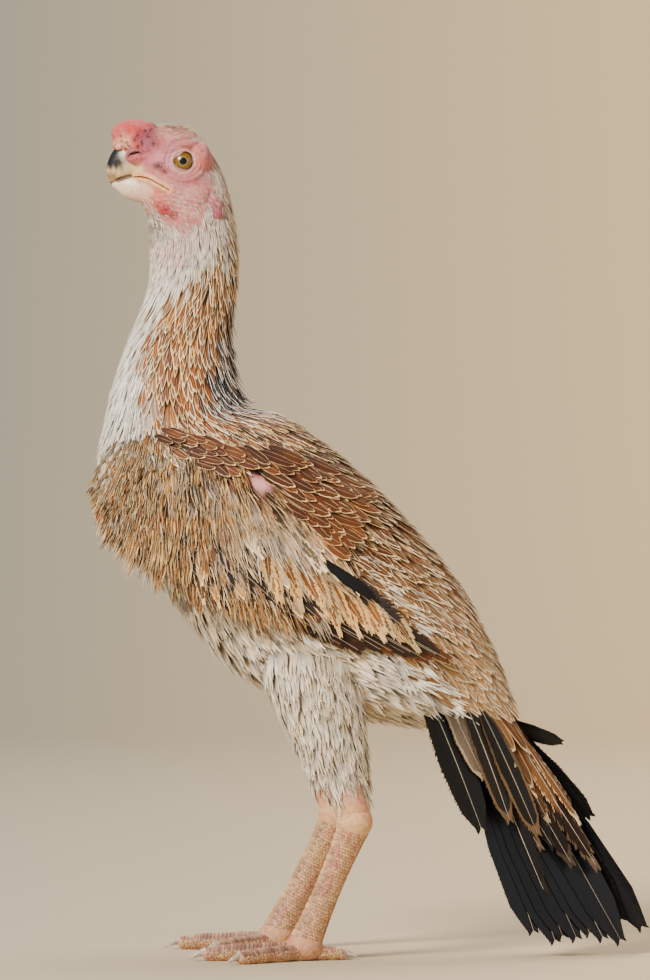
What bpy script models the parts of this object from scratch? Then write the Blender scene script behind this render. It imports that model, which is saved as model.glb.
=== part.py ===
"""An aseel hen, life size, standing still as a museum model.

The bird faces -X with its left side towards -Y, and +Z is up. The origin lies on the floor at the
centre of its box. Sizes are in millimetres and MM turns them into metres when a mesh is made.
"""
import math
import random

import bmesh
import bpy
import numpy as np
from mathutils import Vector
from mathutils.bvhtree import BVHTree

MM = 0.001
SEED = 11
GAP = 0.3                 # air kept between two nodes that touch
LEFT = -1                 # the bird's left side is -Y
RIGHT = 1
SIDES = (("left", LEFT), ("right", RIGHT))
SHARPEST = 0.4            # limits how far a sharp corner moves when a body is swollen

# Each station of the body is a slice across it: its lowest point (x, z), its highest point
# (x, z) and its half width. One smooth surface runs through all of them, bill end to rump.
HEAD_STATIONS = (
    ((-99.5, 431.0), (-100.5, 451.5), 4.0),
    ((-96.2, 424.5), (-95.0, 458.0), 7.8),
    ((-93.4, 419.0), (-86.8, 463.0), 12.5),
    ((-91.8, 415.0), (-73.9, 464.0), 16.5),
    ((-90.2, 412.0), (-61.6, 457.5), 18.5),
    ((-88.5, 405.5), (-47.5, 434.0), 18.5),
    ((-89.6, 396.5), (-40.3, 401.0), 19.5),
)
NECK_STATIONS = (
    ((-91.5, 372.0), (-40.3, 373.0), 22.0),
    ((-105.0, 337.0), (-43.5, 342.0), 27.0),
)
TRUNK_STATIONS = (
    ((-114.8, 302.5), (-35.8, 309.5), 34.0),
    ((-117.6, 261.5), (-12.9, 300.5), 47.0),
    ((-85.7, 208.5), (23.5, 274.0), 55.0),
    ((-40.3, 156.5), (58.2, 239.0), 55.0),
    ((14.0, 134.0), (85.7, 204.5), 46.0),
    ((60.5, 127.0), (104.2, 168.0), 28.0),
    ((76.2, 123.5), (110.3, 152.0), 21.0),
)
SLICE_POWER = 2.2         # 2 is an ellipse, more is squarer
BODY_SIDES = 24
RINGS_BETWEEN = 3         # rings of the loft from one station to the next

# Bill
BILL_UPPER_STATIONS = (
    ((-89.6, 436.0), (-95.2, 456.0), 8.0),
    ((-100.2, 435.8), (-108.6, 452.0), 6.2),
    ((-107.5, 434.0), (-114.0, 441.3), 3.2),
    ((-109.6, 431.8), (-112.6, 434.6), 1.3),
)
BILL_LOWER_STATIONS = (
    ((-89.6, 420.0), (-85.1, 436.0), 8.2),
    ((-102.5, 423.6), (-99.5, 437.4), 5.8),
    ((-109.2, 429.2), (-107.6, 434.6), 2.4),
)
BILL_SIDES = 14
NOSTRIL_AT = (-97.0, 7.2, 449.2)
NOSTRIL_HALF = (3.0, 2.4, 0.8)

# Face
EYE_AT = (-70.6, 11.2, 443.5)
EYE_RADIUS = 8.2
LID_RADIUS = 7.0
LID_THICKNESS = 1.4
LID_SUNK = 0.3
LID_TALL = 0.9            # the ring of the lids is this much lower than it is wide
BROW_OFFSET = (-2.0, 13.0, 8.0)    # from the eye in x, from the middle plane in y, above the eye in z
BROW_HALF = (11.5, 5.2, 3.8)
BROW_TILT = 12.0
GAPE_LINE = ((-97.0, 435.6), (-90.0, 434.4), (-83.5, 431.4), (-76.5, 427.0))
GAPE_END = (-76.0, 426.0)
LIP_APART = 1.25
LIP_HALVES = ((1.0, 1.0), (1.2, 1.2), (1.4, 1.4), (0.9, 0.9))
NOSTRIL_TILT = 8.0

# Each soft form: its middle, its half sizes and its tilt in degrees
COMB_MIDDLE = ((-98.5, 0.0, 458.5), (13.0, 5.6, 9.4), -6.0)
COMB_ROW = ((-98.0, 4.4, 457.0), (11.8, 4.2, 8.2), -8.0)

# Each flap of skin: its name, where it hangs on the flank (x, z), its half sizes and its tilt
FLAPS = (
    ("ear_lobe", (-53.0, 418.0), (4.2, 2.6, 7.5), 12.0),
    ("wattle", (-81.0, 417.0), (6.5, 2.6, 4.8), -20.0),
)

# Standing
FLOOR_DIP = 0.6           # pads are modelled this far below the floor, then cut flat
HOCK_AT = (25.0, 75.5)
FOOT_AT = (-3.0, 9.0)
LEG_OUT = {"left": 37.0, "right": 38.0}
LEG_FORWARD = {"left": 0.0, "right": 16.0}
THIGH_PATH = ((-3.0, 178.0), (4.0, 150.0), (13.0, 122.0), (20.0, 98.0), (25.0, 78.0))
THIGH_HALF = ((28.0, 17.0), (26.0, 17.5), (20.0, 15.0), (14.5, 11.5), (11.0, 9.0))
SHANK_SCUTES = 11
SHANK_TOP = ((8.5, 7.0), (10.0, 8.0))    # half sizes inside the thigh and at the hock
SHANK_HALF = 7.3          # half depth of the shank at its waist
SHANK_FLARE = 2.0         # how much thicker it is at its ends
SHANK_WIDTH = 0.8         # its width as a share of its depth
SCUTE_RISE = 0.55
FOOT_BALL = (8.0, (10.5, 8.8, 8.6))   # height of the ball of the foot and its half sizes
TOE_TAPER = 0.24          # share of its thickness that a toe loses towards its tip
TOE_END = 0.70            # thickness of its last joint, as a share of its base
TOE_PAD = 0.07            # how much a toe swells at its pads
# Each toe: its digit, its turn from straight ahead towards the outside in degrees, its
# length, its thickness at the base and its count of scutes.
TOES = (
    (1, 190.0, 23.0, 4.3, 2),
    (2, -36.0, 42.0, 5.1, 4),
    (3, 3.0, 56.0, 5.5, 6),
    (4, 38.0, 46.0, 4.9, 5),
)
CLAW_LENGTH = 8.5
CLAW_SUNK = 1.5           # how far a claw's root reaches back over the toe
CLAW_TIP_HEIGHT = 1.4
CLAW_ARCH = 0.7
CLAW_THICKNESS = 0.72     # of the toe's end

# Wing: a plate on the flank. Its axis runs from the shoulder down the flank; along is the
# distance on that axis, across the distance above it.
SHOULDER_AT = (-106.0, 266.0)
WING_SLOPE = 30.0
WING_ROUND_ABOVE = (88.0, 66.0)    # height over the axis where the face closes, at its front and rear
WING_ROUND_CHANGE = (50.0, 80.0)   # where along the wing that height starts to fall, and over what length
WING_ROUND_BELOW = 80.0
WING_ROUND_LIMIT = 0.97   # no feather goes further over the rounded edge than this share
WING_OUT = 60.0           # how far the face stands from the middle of the bird at its fullest
WING_FULLEST = 95.0
WING_FRONT_FALL = (100.0, 21.0)    # so far in front of the fullest place the face is so much lower
WING_REAR_FALL = (116.0, 19.0)     # and so far behind it
WING_DEPTH = (20.0, 4.0, 150.0)    # thickness at the shoulder and at the rear, and the length between
WING_CORE = (             # along, lowest across, highest across
    (-5.0, -6.0, 6.0),
    (8.0, -18.0, 30.0),
    (50.0, -24.0, 50.0),
    (95.0, -18.0, 46.0),
    (128.0, -8.0, 26.0),
    (140.0, 2.0, 12.0),
)
VANE_THICK = 0.6
# Each tier: its name, first and last root (along, across), count, length, half width, the turn
# of its first and last feather below the axis in degrees, and its tilt.
WING_TIERS = (
    ("primary", (62.0, -17.0), (110.0, 2.0), 4, 100.0, 7.5, 2.0, -1.0, 1.5),
    ("secondary", (26.0, -14.0), (116.0, 16.0), 6, 68.0, 9.0, 14.0, 8.0, 4.0),
    ("greater_covert", (8.0, -9.0), (104.0, 27.0), 6, 47.0, 10.5, 17.0, 8.0, 6.0),
    ("median_covert", (0.0, 2.0), (82.0, 37.0), 5, 38.0, 11.5, 18.0, 8.0, 7.0),
    ("lesser_covert", (-4.0, 14.0), (56.0, 44.0), 4, 32.0, 11.5, 18.0, 8.0, 8.0),
    ("scapular", (40.0, 47.0), (86.0, 46.0), 3, 50.0, 10.5, 14.0, 6.0, 8.0),
    ("upper_scapular", (18.0, 36.0), (54.0, 49.0), 3, 44.0, 10.5, 12.0, 4.0, 10.0),
)

# Tail
TAIL_AT = (93.2, 137.8)
TAIL_LEAN = 29.0          # degrees from straight down, backwards
TAIL_LENGTH = 150.0
TAIL_STUB = ((14.0, 17.5, 15.0), (34.0, 13.0, 9.0), (52.0, 7.0, 4.5))   # along, half height, half width
TAIL_PAIRS = 6
TAIL_ROOT_DEPTH = 3.0     # the stub is modelled this far into the torso and then cut back
TAIL_ROOF = 22.0          # each half of the tail leans this far from upright, in degrees
QUILL_ROOT = 24.0         # the quills leave the stub this far along it
QUILL_DROP = (7.0, -13.0)    # height of the highest and the lowest quill's root over the axis
QUILL_OUT = (5.2, 6.7)    # and how far out they stand
QUILL_FAN = (-3.0, 7.0)   # their turn towards the belly in degrees
QUILL_SHORTER = 0.16      # the lowest quill is shorter by this share
QUILL_BOW = 3.0           # how far a quill bows outwards
TAIL_HALF = 11.5
TAIL_COVERTS = ((3.0, 46.0, 4), (18.0, 56.0, 4))    # along, length, count on each side
COVERT_ROUND = (80.0, -50.0)    # the first and last covert's place round the stub in degrees
COVERT_HALF = 7.6
COVERT_TILT = 5.0
COVERT_ROLL = 7.0
QUILL_THICK = 0.7


def add_mesh(name, points, faces):
    """One object from points in millimetres."""
    mesh = bpy.data.meshes.new(name)
    scaled = [(p[0] * MM, p[1] * MM, p[2] * MM) for p in points]
    mesh.from_pydata(scaled, [], faces)
    mesh.validate()
    ob = bpy.data.objects.new(name, mesh)
    parts.objects.link(ob)
    return ob


def through(stations, per_gap):
    """Stations on a smooth curve through the given ones, per_gap of them in each gap."""
    rows = np.array([[*low, *high, half] for low, high, half in stations], dtype=float)
    padded = np.vstack([2 * rows[0] - rows[1], rows, 2 * rows[-1] - rows[-2]])
    result = []
    for i in range(1, len(rows)):
        a, b, c, d = padded[i - 1:i + 3]
        for step in range(per_gap):
            t = step / per_gap
            result.append(0.5 * (2 * b + (c - a) * t + (2 * a - 5 * b + 4 * c - d) * t * t
                                 + (3 * b - a - 3 * c + d) * t ** 3))
    result.append(rows[-1])
    return [((r[0], r[1]), (r[2], r[3]), r[4]) for r in result]


def squash(value, power):
    return math.copysign(abs(value) ** (2 / power), value)


def slice_ring(station, sides, power=SLICE_POWER, y_centre=0.0):
    """The rounded outline of one station, as points."""
    low, high, half = station
    cx, cz = (low[0] + high[0]) / 2, (low[1] + high[1]) / 2
    hx, hz = (high[0] - low[0]) / 2, (high[1] - low[1]) / 2
    ring = []
    for k in range(sides):
        turn = 2 * math.pi * k / sides
        up = squash(math.sin(turn), power)
        out = squash(math.cos(turn), power)
        ring.append((cx + hx * up, y_centre + half * out, cz + hz * up))
    return ring


def loft(name, rings, mirrored_faces=()):
    """A closed body through rings of equal count.

    Each four-sided patch is cut in two. On the sides listed in mirrored_faces the cut runs the
    other way, which lets a thin feather have the same cuts on both its faces.
    """
    count = len(rings[0])
    points = [p for ring in rings for p in ring]
    faces = []
    for i in range(len(rings) - 1):
        for j in range(count):
            a = i * count + j
            b = i * count + (j + 1) % count
            c = b + count
            d = a + count
            if j in mirrored_faces:
                faces += [(a, b, d), (b, c, d)]
            else:
                faces += [(a, b, c), (a, c, d)]
    faces.append(tuple(reversed(range(count))))
    faces.append(tuple(range(len(points) - count, len(points))))
    ob = add_mesh(name, points, faces)
    face_out(ob)
    return ob


def face_out(ob):
    bm = bmesh.new()
    bm.from_mesh(ob.data)
    bmesh.ops.recalc_face_normals(bm, faces=bm.faces)
    if bm.calc_volume(signed=True) < 0:
        bmesh.ops.reverse_faces(bm, faces=bm.faces)
    bm.to_mesh(ob.data)
    bm.free()


def remove(ob):
    bpy.data.objects.remove(ob)


def copy_of(ob, name):
    twin = ob.copy()
    twin.data = ob.data.copy()
    twin.name = name
    parts.objects.link(twin)
    return twin


def largest_piece(ob):
    """Keep only the biggest closed surface of a mesh."""
    bm = bmesh.new()
    bm.from_mesh(ob.data)
    left = set(bm.faces)
    pieces = []
    while left:
        seed = left.pop()
        piece = {seed}
        edge = [seed]
        while edge:
            face = edge.pop()
            for line in face.edges:
                for other in line.link_faces:
                    if other in left:
                        left.discard(other)
                        piece.add(other)
                        edge.append(other)
        pieces.append(piece)
    pieces.sort(key=lambda faces: sum(f.calc_area() for f in faces), reverse=True)
    spare = [f for piece in pieces[1:] for f in piece]
    if spare:
        bmesh.ops.delete(bm, geom=spare, context="FACES")
    loose = [v for v in bm.verts if not v.link_faces]
    bmesh.ops.delete(bm, geom=loose, context="VERTS")
    bm.to_mesh(ob.data)
    bm.free()


def apply_boolean(ob, operation, operands, solver="MANIFOLD"):
    """Join a list of closed objects to ob, or cut them from it, and remove them."""
    group = bpy.data.collections.new("operands")
    for piece in operands:
        for home in list(piece.users_collection):
            home.objects.unlink(piece)
        group.objects.link(piece)
    bpy.context.scene.collection.children.link(group)
    step = ob.modifiers.new("step", "BOOLEAN")
    step.operation = operation
    step.operand_type = "COLLECTION"
    step.collection = group
    step.solver = solver
    view = bpy.context.evaluated_depsgraph_get()
    result = bpy.data.meshes.new_from_object(ob.evaluated_get(view))
    ob.modifiers.remove(step)
    ob.data = result
    for piece in operands:
        remove(piece)
    bpy.data.collections.remove(group)
    largest_piece(ob)


def fuse(ob, pieces):
    apply_boolean(ob, "UNION", pieces)


def cut(ob, cutters):
    apply_boolean(ob, "DIFFERENCE", cutters)


def swollen(ob, by=GAP):
    """A copy of a body whose every face has moved out by the given amount."""
    twin = copy_of(ob, "swollen")
    bm = bmesh.new()
    bm.from_mesh(twin.data)
    bm.normal_update()
    moves = []
    for v in bm.verts:
        least = min(v.normal.dot(face.normal) for face in v.link_faces)
        moves.append(v.normal * by * MM / max(least, SHARPEST))
    for v, move in zip(bm.verts, moves):
        v.co += move
    bm.to_mesh(twin.data)
    bm.free()
    return twin


def keep_clear(ob, neighbours, by=GAP):
    """Cut ob back so that it meets its neighbours face to face with a thin gap."""
    cut(ob, [swollen(neighbour, by) for neighbour in neighbours])


def ellipsoid(name, centre, half, rings=8, sides=12, tilt=0.0):
    """A ball stretched to three half sizes and tilted about Y by the given degrees."""
    bm = bmesh.new()
    bmesh.ops.create_uvsphere(bm, u_segments=sides, v_segments=rings, radius=1.0)
    lean = math.radians(tilt)
    for v in bm.verts:
        x, y, z = v.co.x * half[0], v.co.y * half[1], v.co.z * half[2]
        v.co.x = (centre[0] + x * math.cos(lean) - z * math.sin(lean)) * MM
        v.co.y = (centre[1] + y) * MM
        v.co.z = (centre[2] + x * math.sin(lean) + z * math.cos(lean)) * MM
    mesh = bpy.data.meshes.new(name)
    bm.to_mesh(mesh)
    bm.free()
    ob = bpy.data.objects.new(name, mesh)
    parts.objects.link(ob)
    return ob


def box(name, low, high):
    bm = bmesh.new()
    bmesh.ops.create_cube(bm, size=1.0)
    for v in bm.verts:
        for axis in range(3):
            side = high if v.co[axis] > 0 else low
            v.co[axis] = side[axis] * MM
    mesh = bpy.data.meshes.new(name)
    bm.to_mesh(mesh)
    bm.free()
    ob = bpy.data.objects.new(name, mesh)
    parts.objects.link(ob)
    return ob


def tube(name, path, halves, sides=10):
    """A round limb along a path of points; each half size is (depth, width)."""
    rings = []
    last = len(path) - 1
    for i, place in enumerate(path):
        ahead = Vector(path[min(i + 1, last)]) - Vector(path[max(i - 1, 0)])
        ahead.normalize()
        across = Vector((-ahead.y, ahead.x, 0)) if abs(ahead.z) < 0.7 else Vector((0, 1, 0))
        across -= ahead * across.dot(ahead)
        across.normalize()
        above = ahead.cross(across)
        depth, width = halves[i]
        ring = []
        for k in range(sides):
            turn = 2 * math.pi * k / sides
            point = (Vector(place) + across * math.cos(turn) * width
                     + above * math.sin(turn) * depth)
            ring.append(tuple(point))
        rings.append(ring)
    return loft(name, rings)


def paint(ob, name, colour, roughness):
    material = bpy.data.materials.new(name)
    material.use_nodes = True
    shader = material.node_tree.nodes["Principled BSDF"]
    shader.inputs["Base Color"].default_value = (*colour, 1.0)
    shader.inputs["Roughness"].default_value = roughness
    ob.data.materials.clear()
    ob.data.materials.append(material)
    ob.data.shade_smooth()
    ob.data.set_sharp_from_angle(angle=math.radians(40))


# Body: one loft for head, neck and torso, parted at two stations

def body_stations():
    return through(HEAD_STATIONS + NECK_STATIONS + TRUNK_STATIONS, RINGS_BETWEEN)


def nudged(station, towards, by):
    """A station moved a little way towards another one."""
    low = Vector(station[0]) + (Vector(towards[0]) - Vector(station[0])).normalized() * by
    high = Vector(station[1]) + (Vector(towards[1]) - Vector(station[1])).normalized() * by
    return (tuple(low), tuple(high), station[2])


def make_body():
    """The head, neck and torso, with a thin gap where they meet."""
    stations = body_stations()
    chin = (len(HEAD_STATIONS) - 1) * RINGS_BETWEEN
    shoulder = (len(HEAD_STATIONS) + len(NECK_STATIONS)) * RINGS_BETWEEN
    half_gap = GAP / 2
    head_rows = stations[:chin] + [nudged(stations[chin], stations[chin - 1], half_gap)]
    neck_rows = ([nudged(stations[chin], stations[chin + 1], half_gap)]
                 + stations[chin + 1:shoulder]
                 + [nudged(stations[shoulder], stations[shoulder - 1], half_gap)])
    trunk_rows = [nudged(stations[shoulder], stations[shoulder + 1], half_gap)] + stations[shoulder + 1:]
    head = loft("head", [slice_ring(s, BODY_SIDES) for s in head_rows])
    neck = loft("neck", [slice_ring(s, BODY_SIDES) for s in neck_rows])
    torso = loft("torso", [slice_ring(s, BODY_SIDES) for s in trunk_rows])
    return head, neck, torso


def make_beak():
    upper_rows = through(BILL_UPPER_STATIONS, 3)
    lower_rows = through(BILL_LOWER_STATIONS, 3)
    upper = loft("beak_upper", [slice_ring(s, BILL_SIDES) for s in upper_rows])
    lower = loft("beak_lower", [slice_ring(s, BILL_SIDES) for s in lower_rows])
    keep_clear(lower, [upper])
    return upper, lower


def tree_of(ob):
    """A body's surface, in millimetres, for finding places on it."""
    places = [v.co / MM for v in ob.data.vertices]
    return BVHTree.FromPolygons(places, [tuple(face.vertices) for face in ob.data.polygons])


def flank_point(surface, x, z, side):
    """The place on a body's flank at (x, z)."""
    place, _, _, _ = surface.ray_cast(Vector((x, side * 500.0, z)), Vector((0, -side, 0)))
    return place


def ring_round(name, centre, major, minor, normal, tall=1.0, sides=16, thick_sides=6):
    """A torus round an eye: tall stretches it upwards."""
    bpy.ops.mesh.primitive_torus_add(major_segments=sides, minor_segments=thick_sides,
                                     major_radius=major * MM, minor_radius=minor * MM)
    ob = bpy.context.object
    ob.name = name
    for home in list(ob.users_collection):
        home.objects.unlink(ob)
    parts.objects.link(ob)
    turn = Vector((0, 0, 1)).rotation_difference(normal)
    for v in ob.data.vertices:
        place = turn @ v.co
        place.z *= tall
        v.co = place + Vector(centre) * MM
    return ob


def dress_head(head):
    """Fuse brow, lids and the two lips of the mouth to the head."""
    surface = tree_of(head)
    additions = []
    for side_name, side in SIDES:
        x, out, z = EYE_AT
        brow = (x + BROW_OFFSET[0], side * BROW_OFFSET[1], z + BROW_OFFSET[2])
        additions.append(ellipsoid("brow", brow, BROW_HALF, 6, 10, tilt=BROW_TILT))
        rim, facing, _, _ = surface.ray_cast(Vector((x, side * 500.0, z)), Vector((0, -side, 0)))
        middle = rim - facing * LID_SUNK
        additions.append(ring_round("lid", middle, LID_RADIUS, LID_THICKNESS, facing, tall=LID_TALL))
        for drop in (LIP_APART, -LIP_APART):
            path = []
            for gx, gz in GAPE_LINE:
                path.append(tuple(flank_point(surface, gx, gz + drop, side)))
            path[-1] = tuple(flank_point(surface, *GAPE_END, side))
            additions.append(tube("lip", path, LIP_HALVES, sides=6))
    fuse(head, additions)


def open_head(head, beaks):
    """Cut the eye sockets, the nostrils and the seat of the bill."""
    cutters = []
    for side_name, side in SIDES:
        x, out, z = EYE_AT
        eye = (x, side * out, z)
        cutters.append(ellipsoid("socket", eye, (EYE_RADIUS + GAP,) * 3, rings=8, sides=14))
        nx, nout, nz = NOSTRIL_AT
        cutters.append(ellipsoid("nostril", (nx, side * nout, nz), NOSTRIL_HALF, 6, 8, tilt=NOSTRIL_TILT))
    cut(head, cutters)
    keep_clear(head, beaks)


def make_eyes():
    eyes = []
    for side_name, side in SIDES:
        x, out, z = EYE_AT
        eyes.append(ellipsoid("eye_" + side_name, (x, side * out, z), (EYE_RADIUS,) * 3, 8, 14))
    return eyes


def make_comb(head, beaks):
    middle, half, tilt = COMB_MIDDLE
    comb = ellipsoid("comb", middle, half, 8, 12, tilt=tilt)
    lobes = []
    for side in (LEFT, RIGHT):
        (x, out, z), half, tilt = COMB_ROW
        lobes.append(ellipsoid("row", (x, side * out, z), half, 6, 10, tilt=tilt))
    fuse(comb, lobes)
    keep_clear(comb, [head] + beaks)
    return comb


def make_flaps(head):
    surface = tree_of(head)
    flaps = []
    for side_name, side in SIDES:
        for name, (x, z), half, tilt in FLAPS:
            place = flank_point(surface, x, z, side)
            flaps.append(ellipsoid(name + "_" + side_name, place, half, 8, 12, tilt=tilt))
    for flap in flaps:
        keep_clear(flap, [head])
    return flaps


def vane(name, ribs, thick):
    """A flat feather: ribs lists, from root to tip, (place, across, normal, half width).

    The slice is a thin box of four corners. The patches of the two faces are cut alike, so that
    the faces stay apart where the feather bends.
    """
    rings = []
    for place, across, normal, half in ribs:
        low, high = place - across * half, place + across * half
        up = normal * thick
        rings.append([low + up, high + up, high, low])
    return loft(name, rings, mirrored_faces=(2,))


def blade(places, normals, shape, half, tilt, roll=0.0, root_sink=1.6, base=0.7):
    """Ribs of a feather whose shaft follows places over a surface.

    shape gives (share of the length, share of the half width). The root is sunk into the
    surface, and then the feather rises from it by the tilt. The roll turns it about its shaft,
    so that feathers side by side overlap like slates.
    """
    ribs = []
    count = len(places) - 1
    total = sum((places[i + 1] - places[i]).length for i in range(count))
    for share, width in shape:
        at = min(share * count, count - 1e-6)
        i = int(at)
        place = places[i].lerp(places[i + 1], at - i)
        normal = normals[i].lerp(normals[i + 1], at - i).normalized()
        ahead = (places[i + 1] - places[i]).normalized()
        normal = (normal - ahead * normal.dot(ahead)).normalized()
        across = ahead.cross(normal)
        run = share * total
        lift = base + run * math.tan(math.radians(tilt)) if share > 0 else -root_sink
        turn = math.radians(roll) * min(1.0, share * 3)
        turned = across * math.cos(turn) + normal * math.sin(turn)
        facing = normal * math.cos(turn) - across * math.sin(turn)
        ribs.append((place + normal * lift, turned, facing, half * width))
    return ribs


COVERT_SHAPE = ((0.0, 0.45), (0.3, 0.95), (0.8, 0.9), (1.0, 0.25))
QUILL_SHAPE = ((0.0, 0.35), (0.15, 0.75), (0.6, 1.0), (0.9, 0.8), (1.0, 0.25))


def wing_point(along, across, side, inwards=0.0):
    """A point on the wing's rounded face, or inside it by the given depth."""
    lean = math.radians(WING_SLOPE)
    x = SHOULDER_AT[0] + math.cos(lean) * along + math.sin(lean) * across
    z = SHOULDER_AT[1] - math.sin(lean) * along + math.cos(lean) * across
    span, drop = WING_FRONT_FALL if along < WING_FULLEST else WING_REAR_FALL
    reach = WING_OUT - drop * ((along - WING_FULLEST) / span) ** 2
    rounding = WING_ROUND_BELOW
    if across > 0:
        start, length = WING_ROUND_CHANGE
        backwards = min(max((along - start) / length, 0.0), 1.0)
        rounding = WING_ROUND_ABOVE[0] + (WING_ROUND_ABOVE[1] - WING_ROUND_ABOVE[0]) * backwards
    share = min(abs(across) / rounding, WING_ROUND_LIMIT)
    out = reach * (1 - share ** SLICE_POWER) ** (1 / SLICE_POWER)
    return Vector((x, side * (out - inwards), z))


def wing_normal(along, across, side):
    step = 1.0
    ahead = wing_point(along + step, across, side) - wing_point(along - step, across, side)
    above = wing_point(along, across + step, side) - wing_point(along, across - step, side)
    return (ahead.cross(above) * -side).normalized()


def wing_feathers(side, rng):
    """Five tiers of the folded wing, and two rows of scapulars over its upper edge."""
    feathers = []
    for name, first, last, count, length, half, turn_first, turn_last, tilt in WING_TIERS:
        for k in range(count):
            share = k / (count - 1)
            along = first[0] + (last[0] - first[0]) * share
            across = first[1] + (last[1] - first[1]) * share
            along += rng.uniform(-1.2, 1.2)
            turn = math.radians(turn_first + (turn_last - turn_first) * share + rng.uniform(-2, 2))
            reach = length * rng.uniform(0.94, 1.05)
            places = []
            normals = []
            steps = 6
            for i in range(steps + 1):
                run = reach * i / steps
                a = along + math.cos(turn) * run
                c = across - math.sin(turn) * run
                places.append(wing_point(a, c, side))
                normals.append(wing_normal(a, c, side))
            ribs = blade(places, normals, COVERT_SHAPE, half * rng.uniform(0.94, 1.06), tilt)
            feathers.append(vane(name, ribs, VANE_THICK))
    return feathers


def make_wing(side_name, side, torso):
    rings = []
    rows = through([((a, low), (a, high), 0.0) for a, low, high in WING_CORE], 2)
    for (along, low), (_, high), _ in rows:
        front, rear, length = WING_DEPTH
        depth = front - (front - rear) * min(max(along / length, 0.0), 1.0)
        ring = []
        steps = 5
        for k in range(steps):
            ring.append(wing_point(along, low + (high - low) * k / (steps - 1), side))
        for k in range(steps):
            ring.append(wing_point(along, high + (low - high) * k / (steps - 1), side, depth))
        rings.append(ring)
    wing = loft("wing_" + side_name, rings)
    fuse(wing, wing_feathers(side, random.Random(SEED + side)))
    keep_clear(wing, [torso])
    return wing


def tail_feather(name, side, ahead, above, root, length, fan):
    """One long feather of the tail, on the roof-shaped face of its side."""
    lean = math.radians(TAIL_ROOF)
    down_roof = -above * math.cos(lean) + Vector((0, side * math.sin(lean), 0))
    facing = above * math.sin(lean) + Vector((0, side * math.cos(lean), 0))
    turn = math.radians(fan)
    heading = ahead * math.cos(turn) + down_roof * math.sin(turn)
    places = []
    normals = []
    steps = 5
    for i in range(steps + 1):
        t = i / steps
        places.append(root + heading * length * t + facing * QUILL_BOW * t * (1 - 0.5 * t))
        normals.append(facing)
    ribs = blade(places, normals, QUILL_SHAPE, TAIL_HALF, 0.0, root_sink=0.0, base=0.0)
    return vane(name, ribs, QUILL_THICK)


def make_tail(torso):
    """A short fleshy stub, the pairs of tail quills laid like a roof, and their coverts."""
    rng = random.Random(SEED)
    lean = math.radians(TAIL_LEAN)
    ahead = Vector((math.sin(lean), 0, -math.cos(lean)))
    above = Vector((math.cos(lean), 0, math.sin(lean)))
    root = Vector((TAIL_AT[0], 0, TAIL_AT[1]))
    low, high, half = nudged(TRUNK_STATIONS[-1], TRUNK_STATIONS[-2], TAIL_ROOT_DEPTH)
    rows = [(low, high, half - 1.0)]
    for along, half_height, half_width in TAIL_STUB:
        centre = root + ahead * along
        low, high = centre - above * half_height, centre + above * half_height
        rows.append(((low.x, low.z), (high.x, high.z), half_width))
    tail = loft("tail", [slice_ring(row, 14) for row in through(rows, 2)])
    stub = tree_of(tail)
    feathers = []
    for side_name, side in SIDES:
        for k in range(TAIL_PAIRS):
            share = k / (TAIL_PAIRS - 1)
            ends = (QUILL_DROP, QUILL_OUT, QUILL_FAN)
            drop, out, fan = (first + (last - first) * share for first, last in ends)
            start = root + ahead * QUILL_ROOT + above * drop + Vector((0, side * out, 0))
            length = (TAIL_LENGTH - QUILL_ROOT) * (1 - QUILL_SHORTER * share) * rng.uniform(0.97, 1.03)
            feathers.append(tail_feather("tail_quill", side, ahead, above, start, length, fan))
        for row, (along, length, count) in enumerate(TAIL_COVERTS):
            for k in range(count):
                share = k / (count - 1)
                first, last = COVERT_ROUND
                angle = math.radians(first + (last - first) * share)
                spot = (root + ahead * along + above * math.sin(angle) * 25
                        + Vector((0, side * math.cos(angle) * 25, 0)))
                place, normal, _, _ = stub.find_nearest(spot)
                heading = (ahead + normal * 0.04).normalized()
                places = [place + heading * length * i / 4 for i in range(5)]
                ribs = blade(places, [normal] * 5, COVERT_SHAPE, COVERT_HALF, COVERT_TILT,
                             side * COVERT_ROLL, root_sink=2.0)
                feathers.append(vane("tail_covert", ribs, VANE_THICK))
    fuse(tail, feathers)
    keep_clear(tail, [torso])
    return tail


def make_leg(side_name, side, torso):
    """Thigh, shank, foot and the four claws of one side."""
    out = side * LEG_OUT[side_name]
    ahead = LEG_FORWARD[side_name]
    bend = 0.6 * ahead
    path = []
    for i, (x, z) in enumerate(THIGH_PATH):
        share = i / (len(THIGH_PATH) - 1)
        path.append((x - bend * share, out * (0.9 + 0.1 * share), z))
    thigh = tube("thigh_" + side_name, path, THIGH_HALF, 16)
    keep_clear(thigh, [torso])
    foot, toe_tips = make_foot(side_name, side, (FOOT_AT[0] - ahead, out))
    hock = Vector((HOCK_AT[0] - bend, out, HOCK_AT[1]))
    ball = Vector((FOOT_AT[0] - ahead, out, FOOT_AT[1]))
    shank_path = [hock + Vector((-0.5, 0, 5.0)), hock]
    halves = list(SHANK_TOP)
    for k in range(SHANK_SCUTES):
        for share, rise in ((0.12, SCUTE_RISE), (0.92, 0.0)):
            t = 0.07 + 0.9 * (k + share) / SHANK_SCUTES
            slim = SHANK_HALF + SHANK_FLARE * (2 * t - 1) ** 2
            shank_path.append(hock.lerp(ball, t))
            halves.append((slim + rise, SHANK_WIDTH * slim + rise * 0.5))
    shank = tube("shank_" + side_name, [tuple(p) for p in shank_path], halves, 8)
    keep_clear(shank, [thigh, foot])
    claws = []
    for digit, tip, heading, radius in toe_tips:
        claws.append(make_claw("claw_%s_%d" % (side_name, digit), tip, heading, radius, foot))
    return [thigh, shank, foot] + claws


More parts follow.
